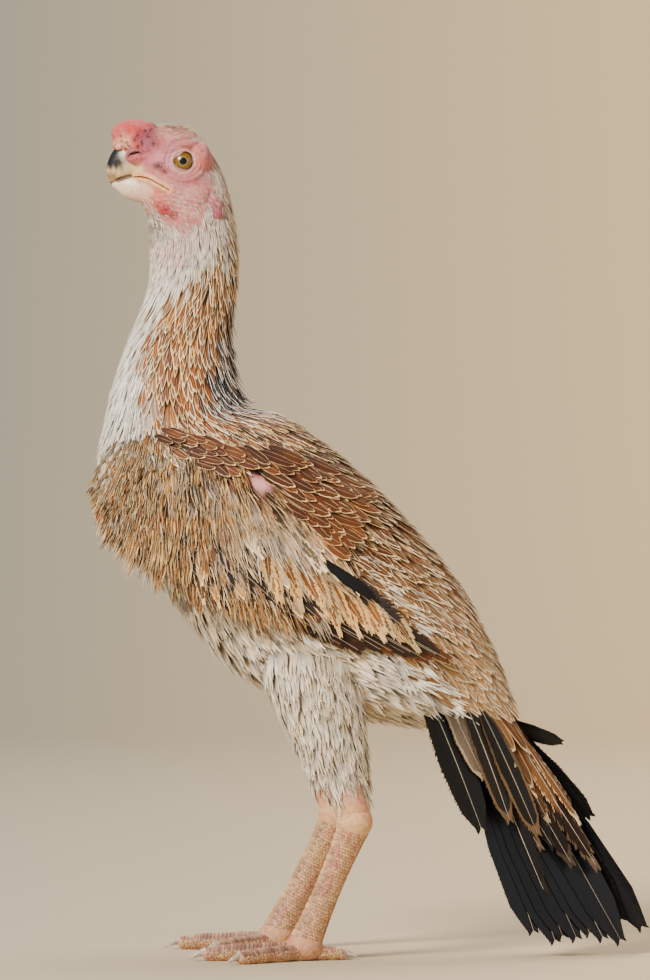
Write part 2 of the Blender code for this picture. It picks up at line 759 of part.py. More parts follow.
def make_foot(side_name, side, ball):
    toes = []
    tips = []
    for digit, spread, length, thick, scutes in TOES:
        turn = math.radians(spread)
        heading = Vector((-math.cos(turn), side * math.sin(turn), 0))
        path = [(ball[0], ball[1], thick + 2.0)]
        halves = [(thick, thick)]
        for k in range(scutes):
            for share, rise in ((0.15, SCUTE_RISE), (0.9, 0.0)):
                t = (k + share) / scutes
                along = 3.0 + (length - 3.0) * t
                radius = thick * (1 - TOE_TAPER * t) * (1 + TOE_PAD * math.cos(6 * math.pi * t))
                height = radius - FLOOR_DIP + 0.4 * (1 - math.cos(6 * math.pi * t)) * (t < 0.8)
                place = Vector((ball[0], ball[1], height)) + heading * along
                path.append(tuple(place))
                halves.append((radius + rise, radius))
        end_radius = thick * TOE_END
        end = Vector((ball[0], ball[1], end_radius - FLOOR_DIP)) + heading * length
        path.append(tuple(end))
        halves.append((end_radius * 0.8, end_radius * 0.8))
        toes.append(tube("toe", path, halves, 8))
        tips.append((digit, end, heading, end_radius))
    height, half = FOOT_BALL
    foot = ellipsoid("foot_" + side_name, (ball[0], ball[1], height), half, 6, 12)
    fuse(foot, toes)
    cut(foot, [box("floor", (-200, -200, -20), (200, 200, 0))])
    return foot, tips


def make_claw(name, tip, heading, radius, foot):
    path = []
    halves = []
    steps = 4
    for k in range(steps + 1):
        t = k / steps
        place = Vector(tip) + heading * (CLAW_LENGTH * t - CLAW_SUNK)
        above_tip = radius + FLOOR_DIP - CLAW_TIP_HEIGHT + CLAW_ARCH * math.sin(math.pi * t)
        place.z = CLAW_TIP_HEIGHT + above_tip * (1 - t) ** 0.8
        path.append(tuple(place))
        thin = radius * CLAW_THICKNESS * (1 - t) + 0.5 * t
        halves.append((thin, thin * 0.8))
    claw = tube(name, path, halves, 6)
    keep_clear(claw, [foot])
    return claw


def centre_box():
    """Move everything so that the box is centred on the origin and stands on the floor."""
    corners = []
    for ob in parts.objects:
        corners += [v.co.copy() for v in ob.data.vertices]
    shift = []
    for axis in range(3):
        values = [c[axis] for c in corners]
        shift.append((min(values) + max(values)) / 2 if axis < 2 else min(values))
    for ob in parts.objects:
        for v in ob.data.vertices:
            v.co -= Vector(shift)
    print("shift", [round(s / MM, 3) for s in shift])


COLOURS = {
    "head": ((0.78, 0.50, 0.45), 0.6), "comb": ((0.62, 0.16, 0.15), 0.5),
    "beak": ((0.72, 0.62, 0.42), 0.4), "eye": ((0.55, 0.33, 0.08), 0.1),
    "ear_lobe": ((0.45, 0.12, 0.15), 0.6), "wattle": ((0.5, 0.08, 0.08), 0.6),
    "neck": ((0.72, 0.50, 0.32), 0.8), "torso": ((0.60, 0.40, 0.24), 0.8),
    "wing": ((0.62, 0.42, 0.24), 0.8), "tail": ((0.03, 0.035, 0.05), 0.5),
    "thigh": ((0.80, 0.74, 0.64), 0.85), "shank": ((0.80, 0.66, 0.45), 0.55),
    "foot": ((0.76, 0.60, 0.45), 0.6), "claw": ((0.62, 0.58, 0.52), 0.45),
}


def paint_all():
    for ob in parts.objects:
        for key in COLOURS:
            if ob.name.startswith(key):
                colour, roughness = COLOURS[key]
                paint(ob, ob.name, colour, roughness)


parts = bpy.data.collections.new("aseel_hen")


def main():
    for ob in list(bpy.data.objects):
        remove(ob)
    bpy.context.scene.collection.children.link(parts)
    head, neck, torso = make_body()
    beaks = list(make_beak())
    dress_head(head)
    make_comb(head, beaks)
    make_flaps(head)
    open_head(head, beaks)
    make_eyes()
    for side_name, side in SIDES:
        make_wing(side_name, side, torso)
        make_leg(side_name, side, torso)
    make_tail(torso)
    centre_box()
    paint_all()


main()
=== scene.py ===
# %% [markdown]
# # An aseel hen, life size, standing still
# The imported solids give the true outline: this script loads them as a fixed frame and builds the
# looks around it. One skin stands for every node of flesh, and the coat is laid over it feather by
# feather. Nothing else is read from disk.

# %% The frame
import math

import bmesh
import bpy
import numpy as np
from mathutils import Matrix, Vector
from mathutils.bvhtree import BVHTree


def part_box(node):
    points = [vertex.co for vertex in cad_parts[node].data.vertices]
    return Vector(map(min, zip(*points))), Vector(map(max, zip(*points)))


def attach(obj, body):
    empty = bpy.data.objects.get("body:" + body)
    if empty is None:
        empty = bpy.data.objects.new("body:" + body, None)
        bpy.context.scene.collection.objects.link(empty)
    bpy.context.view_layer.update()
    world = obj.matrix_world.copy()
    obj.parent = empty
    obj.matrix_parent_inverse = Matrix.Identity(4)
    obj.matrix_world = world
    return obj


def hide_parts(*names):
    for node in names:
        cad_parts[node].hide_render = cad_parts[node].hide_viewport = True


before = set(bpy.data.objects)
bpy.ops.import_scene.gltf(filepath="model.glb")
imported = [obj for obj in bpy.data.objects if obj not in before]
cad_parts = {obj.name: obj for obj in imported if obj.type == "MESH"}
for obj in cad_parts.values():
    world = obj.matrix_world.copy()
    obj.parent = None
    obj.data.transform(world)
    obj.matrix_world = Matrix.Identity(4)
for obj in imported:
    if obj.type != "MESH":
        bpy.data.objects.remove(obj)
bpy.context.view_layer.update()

MM = 0.001
LEFT, RIGHT = -1, 1
SIDES = (("left", LEFT), ("right", RIGHT))
ACROSS = np.array((0, 1, 0))
chance = np.random.default_rng(11)

# %% [markdown]
# ## One set of sizes for solids and looks
# The solids were drawn in millimetres and then moved so that their box is centred. The left eye
# tells by how much, so every size below can be written as it was in the solids' source.

# %% Where the drawing's origin lies
EYE_AT = np.array((-70.6, 11.2, 443.5))
eye_low, eye_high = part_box("eye_left")
eye_middle = np.array((eye_low + eye_high) / 2) / MM
SHIFT = np.array((EYE_AT[0], -EYE_AT[1], EYE_AT[2])) - eye_middle
SHIFT[2] = 0.0
print("the drawing is moved by", SHIFT.round(2), "mm")


def rgb(red, green, blue):
    """A colour picked as 0 to 255 for a screen, as the linear numbers that a shader works in."""
    share = np.array((red, green, blue)) / 255.0
    return np.where(share <= 0.04045, share / 12.92, ((share + 0.055) / 1.055) ** 2.4)


def shown(name, data):
    """A new object in the scene."""
    ob = bpy.data.objects.new(name, data)
    bpy.context.scene.collection.objects.link(ob)
    return ob


def new_object(name, points, faces):
    """A mesh object from points in the drawing's millimetres."""
    mesh = bpy.data.meshes.new(name)
    mesh.from_pydata(((np.asarray(points) - SHIFT) * MM).tolist(), [], faces)
    mesh.validate()
    return shown(name, mesh)


def read_out(rows, key, size):
    """One value for each row of a mesh's list, as an array."""
    flat = np.zeros(len(rows) * size, np.float32)
    rows.foreach_get(key, flat)
    return flat.reshape(-1, size)


def places_of(ob):
    """The vertices of an object in the drawing's millimetres."""
    return read_out(ob.data.vertices, "co", 3).astype(float) / MM + SHIFT


def normals_of(ob):
    return read_out(ob.data.vertex_normals, "vector", 3).astype(float)


def move_to(ob, places):
    ob.data.vertices.foreach_set("co", ((places - SHIFT) * MM).astype(np.float32).ravel())
    ob.data.update()


def worn_by_bird(piece, slot, finish, *nodes):
    """Give a smooth piece its finish and say which nodes it stands for. The slot is not used."""
    piece.data.shade_smooth()
    piece.data.materials.clear()
    piece.data.materials.append(finish)
    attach(piece, "root")
    if nodes:
        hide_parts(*nodes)


# %% [markdown]
# ## Wiring
# Every finish and the feather's own tree are built from nodes. A few short functions make a node,
# feed its sockets with numbers, colours or other nodes' outputs, and hand its output on.

# %% Nodes and their sockets


def node(tree, kind, inputs=None, **settings):
    """A new node, with each input fed by a plain value or by another node's output."""
    made = tree.nodes.new(kind)
    for key, value in settings.items():
        setattr(made, key, value)
    for key, value in (inputs or {}).items():
        socket = made.inputs[key]
        if hasattr(value, "links"):
            tree.links.new(value, socket)
        elif socket.type == "RGBA":
            socket.default_value = (*value, 1)
        else:
            socket.default_value = value
    return made


def attribute(tree, name, output="Color"):
    return node(tree, "ShaderNodeAttribute", attribute_name=name).outputs[output]


def mixed(tree, factor, first, second, blend="MIX"):
    return node(tree, "ShaderNodeMix", {0: factor, 6: first, 7: second}, data_type="RGBA",
        blend_type=blend).outputs[2]


def ranged(tree, value, low, high, to_low=0, to_high=1):
    """A soft step: from to_low where the value is low up to to_high where it is high."""
    return node(tree, "ShaderNodeMapRange", {"Value": value, "From Min": low, "From Max": high,
        "To Min": to_low, "To Max": to_high}, interpolation_type="SMOOTHSTEP").outputs[0]


def maths(tree, operation, first, second=0, third=0):
    return node(tree, "ShaderNodeMath", {0: first, 1: second, 2: third}, operation=operation).outputs[0]


def times(tree, first, second):
    return maths(tree, "MULTIPLY", first, second)


def vector_of(tree, x, y, z=0):
    return node(tree, "ShaderNodeCombineXYZ", {"X": x, "Y": y, "Z": z}).outputs[0]


def object_place(tree):
    return node(tree, "ShaderNodeTexCoord").outputs["Object"]


def noise(tree, scale, detail=3, vector=None):
    return node(tree, "ShaderNodeTexNoise", {"Scale": scale, "Detail": detail, "Roughness": 0.55,
        "Vector": vector or object_place(tree)}).outputs["Fac"]


def bumped(tree, shader, height, strength, distance):
    made = node(tree, "ShaderNodeBump", {"Strength": strength, "Distance": distance, "Height": height})
    tree.links.new(made.outputs["Normal"], shader.inputs["Normal"])


def new_finish(name, roughness, specular=0.4):
    finish = bpy.data.materials.new(name)
    finish.use_nodes = True
    shader = finish.node_tree.nodes["Principled BSDF"]
    shader.inputs["Roughness"].default_value = roughness
    shader.inputs["Specular IOR Level"].default_value = specular
    return finish, finish.node_tree, shader


# %% [markdown]
# ## The studio
# The bird was seen from its left at about the height of its back. A long lens 3.2 m away keeps the
# outline almost flat, as the solids were measured. The floor bends up into a plain wall, so that
# no horizon line crosses the bird.

# %% Camera, floor and lights
PIXEL = 0.56                    # millimetres for one pixel of the frame
FRAME_HIGH = 980                # pixels
VIEW_AWAY = 3200.0
VIEW_AT = (8.4, 0, 260.4)

camera = bpy.data.cameras.new("camera")
camera.sensor_fit = "VERTICAL"
camera.angle = 2 * math.atan(FRAME_HIGH * PIXEL / 2 / VIEW_AWAY)
camera.dof.use_dof = False
camera_stand = shown("camera", camera)
camera_stand.location = ((Vector(VIEW_AT) - Vector(SHIFT)) - Vector((0, VIEW_AWAY, 0))) * MM
camera_stand.rotation_euler = (math.radians(90), 0, 0)
bpy.context.scene.camera = camera_stand


def studio_sweep(width=12, front=-9, back=4.4, height=5.5, bend=1.6, steps=16):
    """A floor that bends up into a wall behind the bird."""
    line = [(front, 0)]
    for k in range(steps + 1):
        turn = math.pi / 2 * k / steps
        line.append((back - bend + bend * math.sin(turn), bend - bend * math.cos(turn)))
    line.append((back, height))
    points = [(x, y, z) for x in (-width / 2, width / 2) for y, z in line]
    count = len(line)
    faces = [(k, k + count, k + count + 1, k + 1) for k in range(count - 1)]
    mesh = bpy.data.meshes.new("studio")
    mesh.from_pydata(points, [], faces)
    mesh.shade_smooth()
    return shown("studio", mesh)


def wall_finish():
    """The wall, with painted light: darker and cooler at the left, brighter and warmer at the right."""
    finish, tree, shader = new_finish("studio_wall", 0.95, 0.5)
    split = node(tree, "ShaderNodeSeparateXYZ", {0: object_place(tree)})
    share = node(tree, "ShaderNodeMapRange",
        {"From Min": -0.5, "From Max": 0.6, "Value": split.outputs["X"]})
    # painted light and shade across the wall: dark grey at the left, bright warm beige at the right
    blend = mixed(tree, share.outputs[0], rgb(160, 155, 140), rgb(234, 204, 156))
    tree.links.new(blend, shader.inputs["Base Color"])
    return finish


studio = studio_sweep()
studio.data.materials.append(wall_finish())

SOFT_LIGHTS = (                 # name, place and target in metres, size, power in watts, colour
    ("window", (-1.3, -1.7, 1.5), (0, 0, 0.25), 0.7, 112, (1, 0.96, 0.90)),
    ("room", (1.9, -1.4, 0.9), (0, 0, 0.25), 1.8, 15, (1, 0.96, 0.9)),
    ("sky", (0.1, 0.5, 2.2), (0, 0, 0.2), 1.4, 30, (1, 0.99, 0.97)),
    ("wall_wash", (0.4, 1.6, 3), (0.2, 4.4, 0.9), 2.2, 104, (1, 0.97, 0.92)),
)
for name, place, target, size, power, warmth in SOFT_LIGHTS:
    lamp = bpy.data.lights.new(name, "AREA")
    lamp.size = size
    lamp.energy = power
    lamp.color = warmth
    ob = shown(name, lamp)
    ob.location = place
    ob.rotation_euler = (Vector(target) - Vector(place)).to_track_quat("-Z", "Y").to_euler()
world = bpy.data.worlds.new("daylight")
world.use_nodes = True
world.node_tree.nodes["Background"].inputs["Color"].default_value = (0.92, 0.90, 0.86, 1)
world.node_tree.nodes["Background"].inputs["Strength"].default_value = 0.22
bpy.context.scene.world = world
print("camera", round(VIEW_AWAY * MM, 2), "m away, lens angle", round(math.degrees(camera.angle), 1))

# %% [markdown]
# ## Sheets: surfaces that can be walked on
# A feather lies along the body, so each root needs a place, the way outwards and the way towards
# the tail. A grid of points over a limb gives all three at any spot between its lines, and a
# feather's shaft is found by walking over it in short steps. Walking on the surface itself, and
# not on a flat picture of it, is what makes the coat hug every side.

# %% A sheet and a walk over it
HEAD_STATIONS = (
    ((-99.5, 431), (-100.5, 451.5), 4),
    ((-96.2, 424.5), (-95, 458), 7.8),
    ((-93.4, 419), (-86.8, 463), 12.5),
    ((-91.8, 415), (-73.9, 464), 16.5),
    ((-90.2, 412), (-61.6, 457.5), 18.5),
    ((-88.5, 405.5), (-47.5, 434), 18.5),
    ((-89.6, 396.5), (-40.3, 401), 19.5),
)
NECK_STATIONS = (
    ((-91.5, 372), (-40.3, 373), 22),
    ((-105, 337), (-43.5, 342), 27),
)
TRUNK_STATIONS = (
    ((-114.8, 302.5), (-35.8, 309.5), 34),
    ((-117.6, 261.5), (-12.9, 300.5), 47),
    ((-85.7, 208.5), (23.5, 274), 55),
    ((-40.3, 156.5), (58.2, 239), 55),
    ((14, 134), (85.7, 204.5), 46),
    ((60.5, 127), (104.2, 168), 28),
    ((76.2, 123.5), (110.3, 152), 21),
)
SLICE_POWER = 2.2
ROWS_IN_GAP = 24                # grid rows from one station to the next
GRID_SIDES = 144


def smooth_line(points, in_gap):
    """Many points on a smooth line through a few."""
    points = np.asarray(points, dtype=float)
    padded = np.vstack([2 * points[0] - points[1], points, 2 * points[-1] - points[-2]])
    result = []
    for i in range(1, len(points)):
        a, b, c, d = padded[i - 1:i + 3]
        for t in np.arange(in_gap) / in_gap:
            result.append(0.5 * (2 * b + (c - a) * t + (2 * a - 5 * b + 4 * c - d) * t * t
                + (3 * b - a - 3 * c + d) * t ** 3))
    result.append(points[-1])
    return np.array(result)


def rows_through(stations, in_gap):
    """Stations on a smooth curve through the given ones: low x, low z, high x, high z, half width."""
    return smooth_line([[*low, *high, half] for low, high, half in stations], in_gap)


def squashed(values):
    return np.sign(values) * np.abs(values) ** (2 / SLICE_POWER)


def slices(rows, sides):
    """A grid of points: one rounded slice of the body for each row."""
    turn = 2 * np.pi * np.arange(sides) / sides
    up, out = squashed(np.sin(turn)), squashed(np.cos(turn))
    middle, half = (rows[:, :2] + rows[:, 2:4]) / 2, (rows[:, 2:4] - rows[:, :2]) / 2
    x, z = (middle[:, k, None] + half[:, k, None] * up for k in (0, 1))
    return np.stack([x, rows[:, 4, None] * out, z], axis=-1)


def unit(vectors):
    return vectors / np.maximum(np.linalg.norm(vectors, axis=-1, keepdims=True), 1e-9)


class Sheet:
    """A grid of points with its outward normals, read at any place between its lines."""

    def __init__(self, grid, closed=True, outwards=None):
        self.grid = grid
        self.closed = closed
        self.down = np.gradient(grid, axis=0)
        if closed:
            self.round = (np.roll(grid, -1, 1) - np.roll(grid, 1, 1)) / 2
        else:
            self.round = np.gradient(grid, axis=1)
        normal = unit(np.cross(self.down, self.round))
        middle = grid.mean(axis=1, keepdims=True)
        away = grid - middle if outwards is None else np.broadcast_to(outwards, grid.shape)
        self.normal = normal * np.sign((normal * away).sum())

    def read(self, field, u, v):
        rows, columns = self.grid.shape[:2]
        u = np.clip(u, 0, rows - 1.001)
        i = u.astype(int)
        if self.closed:
            v = np.mod(v, columns)
            j = v.astype(int) % columns
            k = (j + 1) % columns
        else:
            v = np.clip(v, 0, columns - 1.001)
            j = v.astype(int)
            k = j + 1
        s, t = (u - i)[..., None], (v - np.floor(v))[..., None]
        return ((field[i, j] * (1 - s) + field[i + 1, j] * s) * (1 - t)
            + (field[i, k] * (1 - s) + field[i + 1, k] * s) * t)

    def place(self, u, v):
        """The point at (u, v). Past an open end the sheet goes straight on."""
        beyond_u = u - np.clip(u, 0, self.grid.shape[0] - 1.001)
        point = self.read(self.grid, u, v) + self.read(self.down, u, v) * beyond_u[..., None]
        if not self.closed:
            beyond_v = v - np.clip(v, 0, self.grid.shape[1] - 1.001)
            point = point + self.read(self.round, u, v) * beyond_v[..., None]
        return point

    def walk(self, u, v, turn, length, steps):
        """Walk from (u, v) over the sheet, turn radians away from its lines."""
        places, normals = [], []
        for k in range(steps + 1):
            places.append(self.place(u, v))
            normals.append(unit(self.read(self.normal, u, v)))
            step = length / steps
            u = u + np.cos(turn) * step / np.linalg.norm(self.read(self.down, u, v), axis=-1)
            v = v + np.sin(turn) * step / np.linalg.norm(self.read(self.round, u, v), axis=-1)
        return np.stack(places, 1), np.stack(normals, 1)


body_rows = rows_through(HEAD_STATIONS + NECK_STATIONS + TRUNK_STATIONS, ROWS_IN_GAP)
body_sheet = Sheet(slices(body_rows, GRID_SIDES))
print("body sheet", body_sheet.grid.shape[:2], "points")


def station(number):
    """The grid row of a station, counted from the bill."""
    return number * ROWS_IN_GAP


# %% [markdown]
# ## The wing as a sheet
# A folded wing is a rounded plate on the flank. The same rule that shaped the solids gives its
# face here: its axis runs down the flank from the shoulder, and the face bends away from the
# bird's middle plane towards every edge.

# %% Wing, thigh and tail surfaces
SHOULDER_AT = (-106, 266)
WING_SLOPE = math.radians(30)
WING_OUT = 60.0
WING_FULLEST = 95.0
WING_ROUND_ABOVE = (88, 66)
WING_ROUND_BELOW = 80.0
WING_LONG = (-14, 216)
WING_HIGH = (-58, 64)


def wing_face(along, across, side, inwards=0):
    x = SHOULDER_AT[0] + np.cos(WING_SLOPE) * along + np.sin(WING_SLOPE) * across
    z = SHOULDER_AT[1] - np.sin(WING_SLOPE) * along + np.cos(WING_SLOPE) * across
    front = along < WING_FULLEST
    reach = WING_OUT - np.where(front, 21, 19) * ((along - WING_FULLEST) / np.where(front, 100, 116)) ** 2
    backwards = np.clip((along - 50) / 80, 0, 1)
    above = WING_ROUND_ABOVE[0] + (WING_ROUND_ABOVE[1] - WING_ROUND_ABOVE[0]) * backwards
    rounding = np.where(across > 0, above, WING_ROUND_BELOW)
    share = np.minimum(np.abs(across) / rounding, 0.97)
    out = reach * (1 - share ** SLICE_POWER) ** (1 / SLICE_POWER)
    return np.stack([x, side * (out - inwards), z], axis=-1)


wing_along, wing_across = np.meshgrid(np.arange(WING_LONG[0], WING_LONG[1] + 1),
    np.arange(WING_HIGH[0], WING_HIGH[1] + 1), indexing="ij")
wing_sheets = {side: Sheet(wing_face(wing_along, wing_across, side), closed=False, outwards=(0, side, 0))
    for side in (LEFT, RIGHT)}

HOCK_AT = (25, 75.5)
FOOT_AT = (-3, 9)
LEG_OUT = {LEFT: 37, RIGHT: 38.0}
LEG_FORWARD = {LEFT: 0, RIGHT: 16.0}
THIGH_PATH = ((-3, 178), (4, 150), (13, 122), (20, 98), (25, 78))
THIGH_HALF = ((28, 17), (26, 17.5), (20, 15), (14.5, 11.5), (11, 9))


def limb_grid(path, halves, sides):
    """Rings round a limb: path is a line of places, halves the depth and width at each."""
    path, halves = np.asarray(path, float), np.asarray(halves, float)
    ahead = unit(np.gradient(path, axis=0))
    level = np.stack([-ahead[:, 1], ahead[:, 0], 0 * ahead[:, 0]], -1)
    upright = np.broadcast_to((0, 1, 0), path.shape)
    across = np.where(np.abs(ahead[:, 2:3]) < 0.7, level, upright)
    across = unit(across - ahead * (across * ahead).sum(-1, keepdims=True))
    above = np.cross(ahead, across)
    turn = 2 * np.pi * np.arange(sides) / sides
    return (path[:, None] + across[:, None] * (np.cos(turn)[:, None] * halves[:, None, 1:2])
        + above[:, None] * (np.sin(turn)[:, None] * halves[:, None, 0:1]))


def thigh_line(side):
    share = np.arange(len(THIGH_PATH)) / (len(THIGH_PATH) - 1)
    out = side * LEG_OUT[side] * (0.9 + 0.1 * share)
    x = np.array([x for x, z in THIGH_PATH]) - 0.6 * LEG_FORWARD[side] * share
    z = np.array([z for x, z in THIGH_PATH])
    return np.stack([x, out, z], -1)


thigh_sheets = {}
for side_name, side in SIDES:
    line = smooth_line(thigh_line(side), 16)
    widths = smooth_line(THIGH_HALF, 16)
    thigh_sheets[side] = Sheet(limb_grid(line, widths, 48))
print("wing sheets", wing_sheets[LEFT].grid.shape[:2], "thigh sheets", thigh_sheets[LEFT].grid.shape[:2])

# %% [markdown]
# ## One skin
# On the living bird a single skin runs from the comb to the toes. It could be sculpted from one
# ball, but the body is easier to state as lofts that overlap: a voxel remesh then melts them into
# one surface with soft joins. The trunk can be coarse, because feathers hide it. The face and the
# feet are remeshed much finer, and the three are joined at the end by a union under the feathers.

# %% Closed meshes, melting and joining
TRUNK_VOXEL = 3.0 * MM          # feathers hide it
HEAD_VOXEL = 0.6 * MM           # fine enough for lids and folds
LEG_VOXEL = 0.88 * MM


def grid_object(name, grid, line_closed=False):
    """A closed mesh over a grid of rings, with its two ends covered unless the line is closed."""
    rows, columns = grid.shape[:2]
    faces = []
    for i in range(rows if line_closed else rows - 1):
        for j in range(columns):
            a = i * columns + j
            b = i * columns + (j + 1) % columns
            below = ((i + 1) % rows) * columns
            faces.append((a, b, below + (j + 1) % columns, below + j))
    if not line_closed:
        faces.append(tuple(reversed(range(columns))))
        faces.append(tuple(range((rows - 1) * columns, rows * columns)))
    ob = new_object(name, grid.reshape(-1, 3), faces)
    shape = bmesh.new()
    shape.from_mesh(ob.data)
    bmesh.ops.recalc_face_normals(shape, faces=shape.faces)
    if shape.calc_volume(signed=True) < 0:
        bmesh.ops.reverse_faces(shape, faces=shape.faces)
    shape.to_mesh(ob.data)
    shape.free()
    return ob


def ball(name, middle, half, tilt=0, rings=20, sides=32):
    """A ball stretched to three half sizes and tilted about Y by the given degrees."""
    rise = np.pi * (np.arange(rings) + 0.5) / rings
    turn = 2 * np.pi * np.arange(sides) / sides
    x = half[0] * np.sin(rise)[:, None] * np.cos(turn)
    y = half[1] * np.sin(rise)[:, None] * np.sin(turn)
    z = half[2] * np.cos(rise)[:, None] * np.ones(sides)
    lean = math.radians(tilt)
    grid = np.stack([x * math.cos(lean) - z * math.sin(lean), y, x * math.sin(lean) + z * math.cos(lean)],
        -1)
    return grid_object(name, grid + np.asarray(middle, float))


def kept(ob, step):
    """Turn a modifier's result into the object's plain mesh and take the modifier off."""
    view = bpy.context.evaluated_depsgraph_get()
    mesh = bpy.data.meshes.new_from_object(ob.evaluated_get(view))
    ob.modifiers.remove(step)
    old, ob.data = ob.data, mesh
    bpy.data.meshes.remove(old)


def applied(ob, kind, **settings):
    """Change an object's mesh by one modifier."""
    step = ob.modifiers.new("step", kind)
    for key, value in settings.items():
        setattr(step, key, value)
    kept(ob, step)


def joined(name, pieces):
    """Several objects as one mesh, with overlaps left in."""
    points, faces = [], []
    for piece in pieces:
        start = len(points)
        points += [v.co / MM + Vector(SHIFT) for v in piece.data.vertices]
        faces += [tuple(start + k for k in face.vertices) for face in piece.data.polygons]
        bpy.data.objects.remove(piece)
    return new_object(name, [tuple(p) for p in points], faces)


def boolean(ob, operation, operands):
    group = bpy.data.collections.new("operands")
    bpy.context.scene.collection.children.link(group)
    for piece in operands:
        bpy.context.scene.collection.objects.unlink(piece)
        group.objects.link(piece)
    applied(ob, "BOOLEAN", operation=operation, operand_type="COLLECTION", collection=group,
        solver="MANIFOLD")
    for piece in operands:
        bpy.data.objects.remove(piece)
    bpy.data.collections.remove(group)


def surface_of(ob):
    """A search tree over an object's faces, in the drawing's millimetres."""
    return BVHTree.FromPolygons([Vector(p) for p in places_of(ob)],
        [tuple(face.vertices) for face in ob.data.polygons])


def flank(surface, x, z, side, sink=0):
    """The place on a side of the head seen at (x, z), moved inwards by sink."""
    place, facing, _, _ = surface.ray_cast(Vector((x, side * 300, z)), Vector((0, -side, 0)))
    if place is None:
        place, facing, _, _ = surface.find_nearest(Vector((x, side * 10, z)))
    return np.array(place - facing * sink)


def tube(name, path, halves, in_gap=6, sides=14):
    return grid_object(name, limb_grid(smooth_line(path, in_gap), smooth_line(halves, in_gap), sides))


# %% [markdown]
# ### The trunk under the coat
# The coat is about 5 mm deep on the back and 3 mm on the neck, so each slice of the trunk is drawn
# in by that much. Wing cores, thighs and the root of the tail are sunk into it before melting.

# %% Trunk, wings and thighs
COAT_DEPTH = ((0, 0), (4.6, 0.3), (6, 2.2), (8, 3.6), (10, 5), (15, 4.5))    # station, millimetres
TAIL_LEAN = math.radians(29)
TAIL_AT = np.array((93.2, 0, 137.8))
TAIL_AHEAD = np.array((math.sin(TAIL_LEAN), 0, -math.cos(TAIL_LEAN)))
TAIL_ABOVE = np.array((math.cos(TAIL_LEAN), 0, math.sin(TAIL_LEAN)))
TAIL_STUB = ((-6, 13.5, 17), (14, 15, 12), (34, 10.5, 7), (50, 5, 3))


def coat_depth(rows):
    at = np.asarray(rows, float) / ROWS_IN_GAP
    return np.interp(at, [s for s, d in COAT_DEPTH], [d for s, d in COAT_DEPTH])


def make_trunk():
    first = station(5)
    depth = coat_depth(np.arange(first, len(body_rows)))
    shell = body_sheet.grid[first:] - body_sheet.normal[first:] * depth[:, None, None]
    pieces = [grid_object("trunk", shell)]
    for side in (LEFT, RIGHT):
        along = np.linspace(-2, 132, 28)
        low = np.interp(along, [-2, 8, 50, 95, 128, 132], [-8, -14, -19, -14, -4, -1])
        high = np.interp(along, [-2, 8, 50, 95, 128, 132], [2, 24, 44, 40, 20, 12])
        depth = 17.0 - 14.0 * np.clip(along / 150, 0, 1)
        rings = []
        for a, l, h, d in zip(along, low, high, depth):
            across = np.linspace(l, h, 12)
            outer = wing_face(np.full(12, a), across, side, 3)
            inner = wing_face(np.full(12, a), across[::-1], side, 4.0 + d)
            rings.append(np.vstack([outer, inner]))
        pieces.append(grid_object("wing_core", np.array(rings)))
        line = smooth_line(thigh_line(side), 8)
        widths = np.maximum(smooth_line(THIGH_HALF, 8) - np.linspace(4.5, 1, len(line))[:, None], 3)
        pieces.append(grid_object("thigh", limb_grid(line, widths, 28)))
    stations = []
    for along, half_height, half_width in TAIL_STUB:
        low = TAIL_AT + TAIL_AHEAD * along - TAIL_ABOVE * half_height
        high = TAIL_AT + TAIL_AHEAD * along + TAIL_ABOVE * half_height
        stations.append(((low[0], low[2]), (high[0], high[2]), half_width))
    pieces.append(grid_object("tail_root", slices(rows_through(stations, 6), 24)))
    trunk = joined("skin", pieces)
    applied(trunk, "REMESH", mode="VOXEL", voxel_size=TRUNK_VOXEL)
    applied(trunk, "SMOOTH", factor=0.5, iterations=6)
    return trunk


skin = make_trunk()
print("trunk", len(skin.data.polygons), "faces")

# %% [markdown]
# ### The head
# This is where people look first. The bird has a broad flat crown, a stern brow over a pale eye, a
# low triple comb, a short deep bill and thick folded skin on the cheeks. Each of those is a small
# body sunk into the head, so that melting leaves a soft swelling. Lids are shells bent round the
# eyeball, because a flat ring could not follow it.

# %% Folds, lids and comb
EYE_RADIUS = 8.1
LID_OPENING = ((0, 5.7), (40, 6), (72, 5.6), (92, 4.5), (115, 3.8), (138, 3.9), (160, 5), (180, 6.4),
    (205, 6.1), (235, 5.9), (270, 6.2), (315, 5.9), (360, 5.7))
MOUTH_LINE = ((-98.5, 435.4), (-95, 435.3), (-90, 434), (-84.5, 431), (-78.6, 427.6))
WATTLE_FOLDS = ((-84.6, 420.4, 3.4, 2.2), (-80.6, 416.8, 4.2, 2.4), (-76.6, 413.6, 3.2, 1.7),
    (-83.4, 415.4, 2.6, 1.5))
COMB_PITS = ((-105.6, 458.1), (-105, 455.1), (-102.3, 454.5), (-97.7, 455.7), (-100.8, 452.3),
    (-93.5, 454.5), (-89.8, 457.5), (-95.8, 451.9), (-103, 450.8), (-91.6, 461), (-96, 458.4),
    (-87.6, 453.8))
NOSTRIL_LINE = ((-101.4, 446.8), (-99.6, 448.5), (-97.2, 449.2), (-94.8, 448.6))
EYE_RING = ((0, 12.6), (45, 12.2), (90, 11), (135, 11.5), (180, 11.5), (225, 11), (270, 11.5), (360, 12.6))


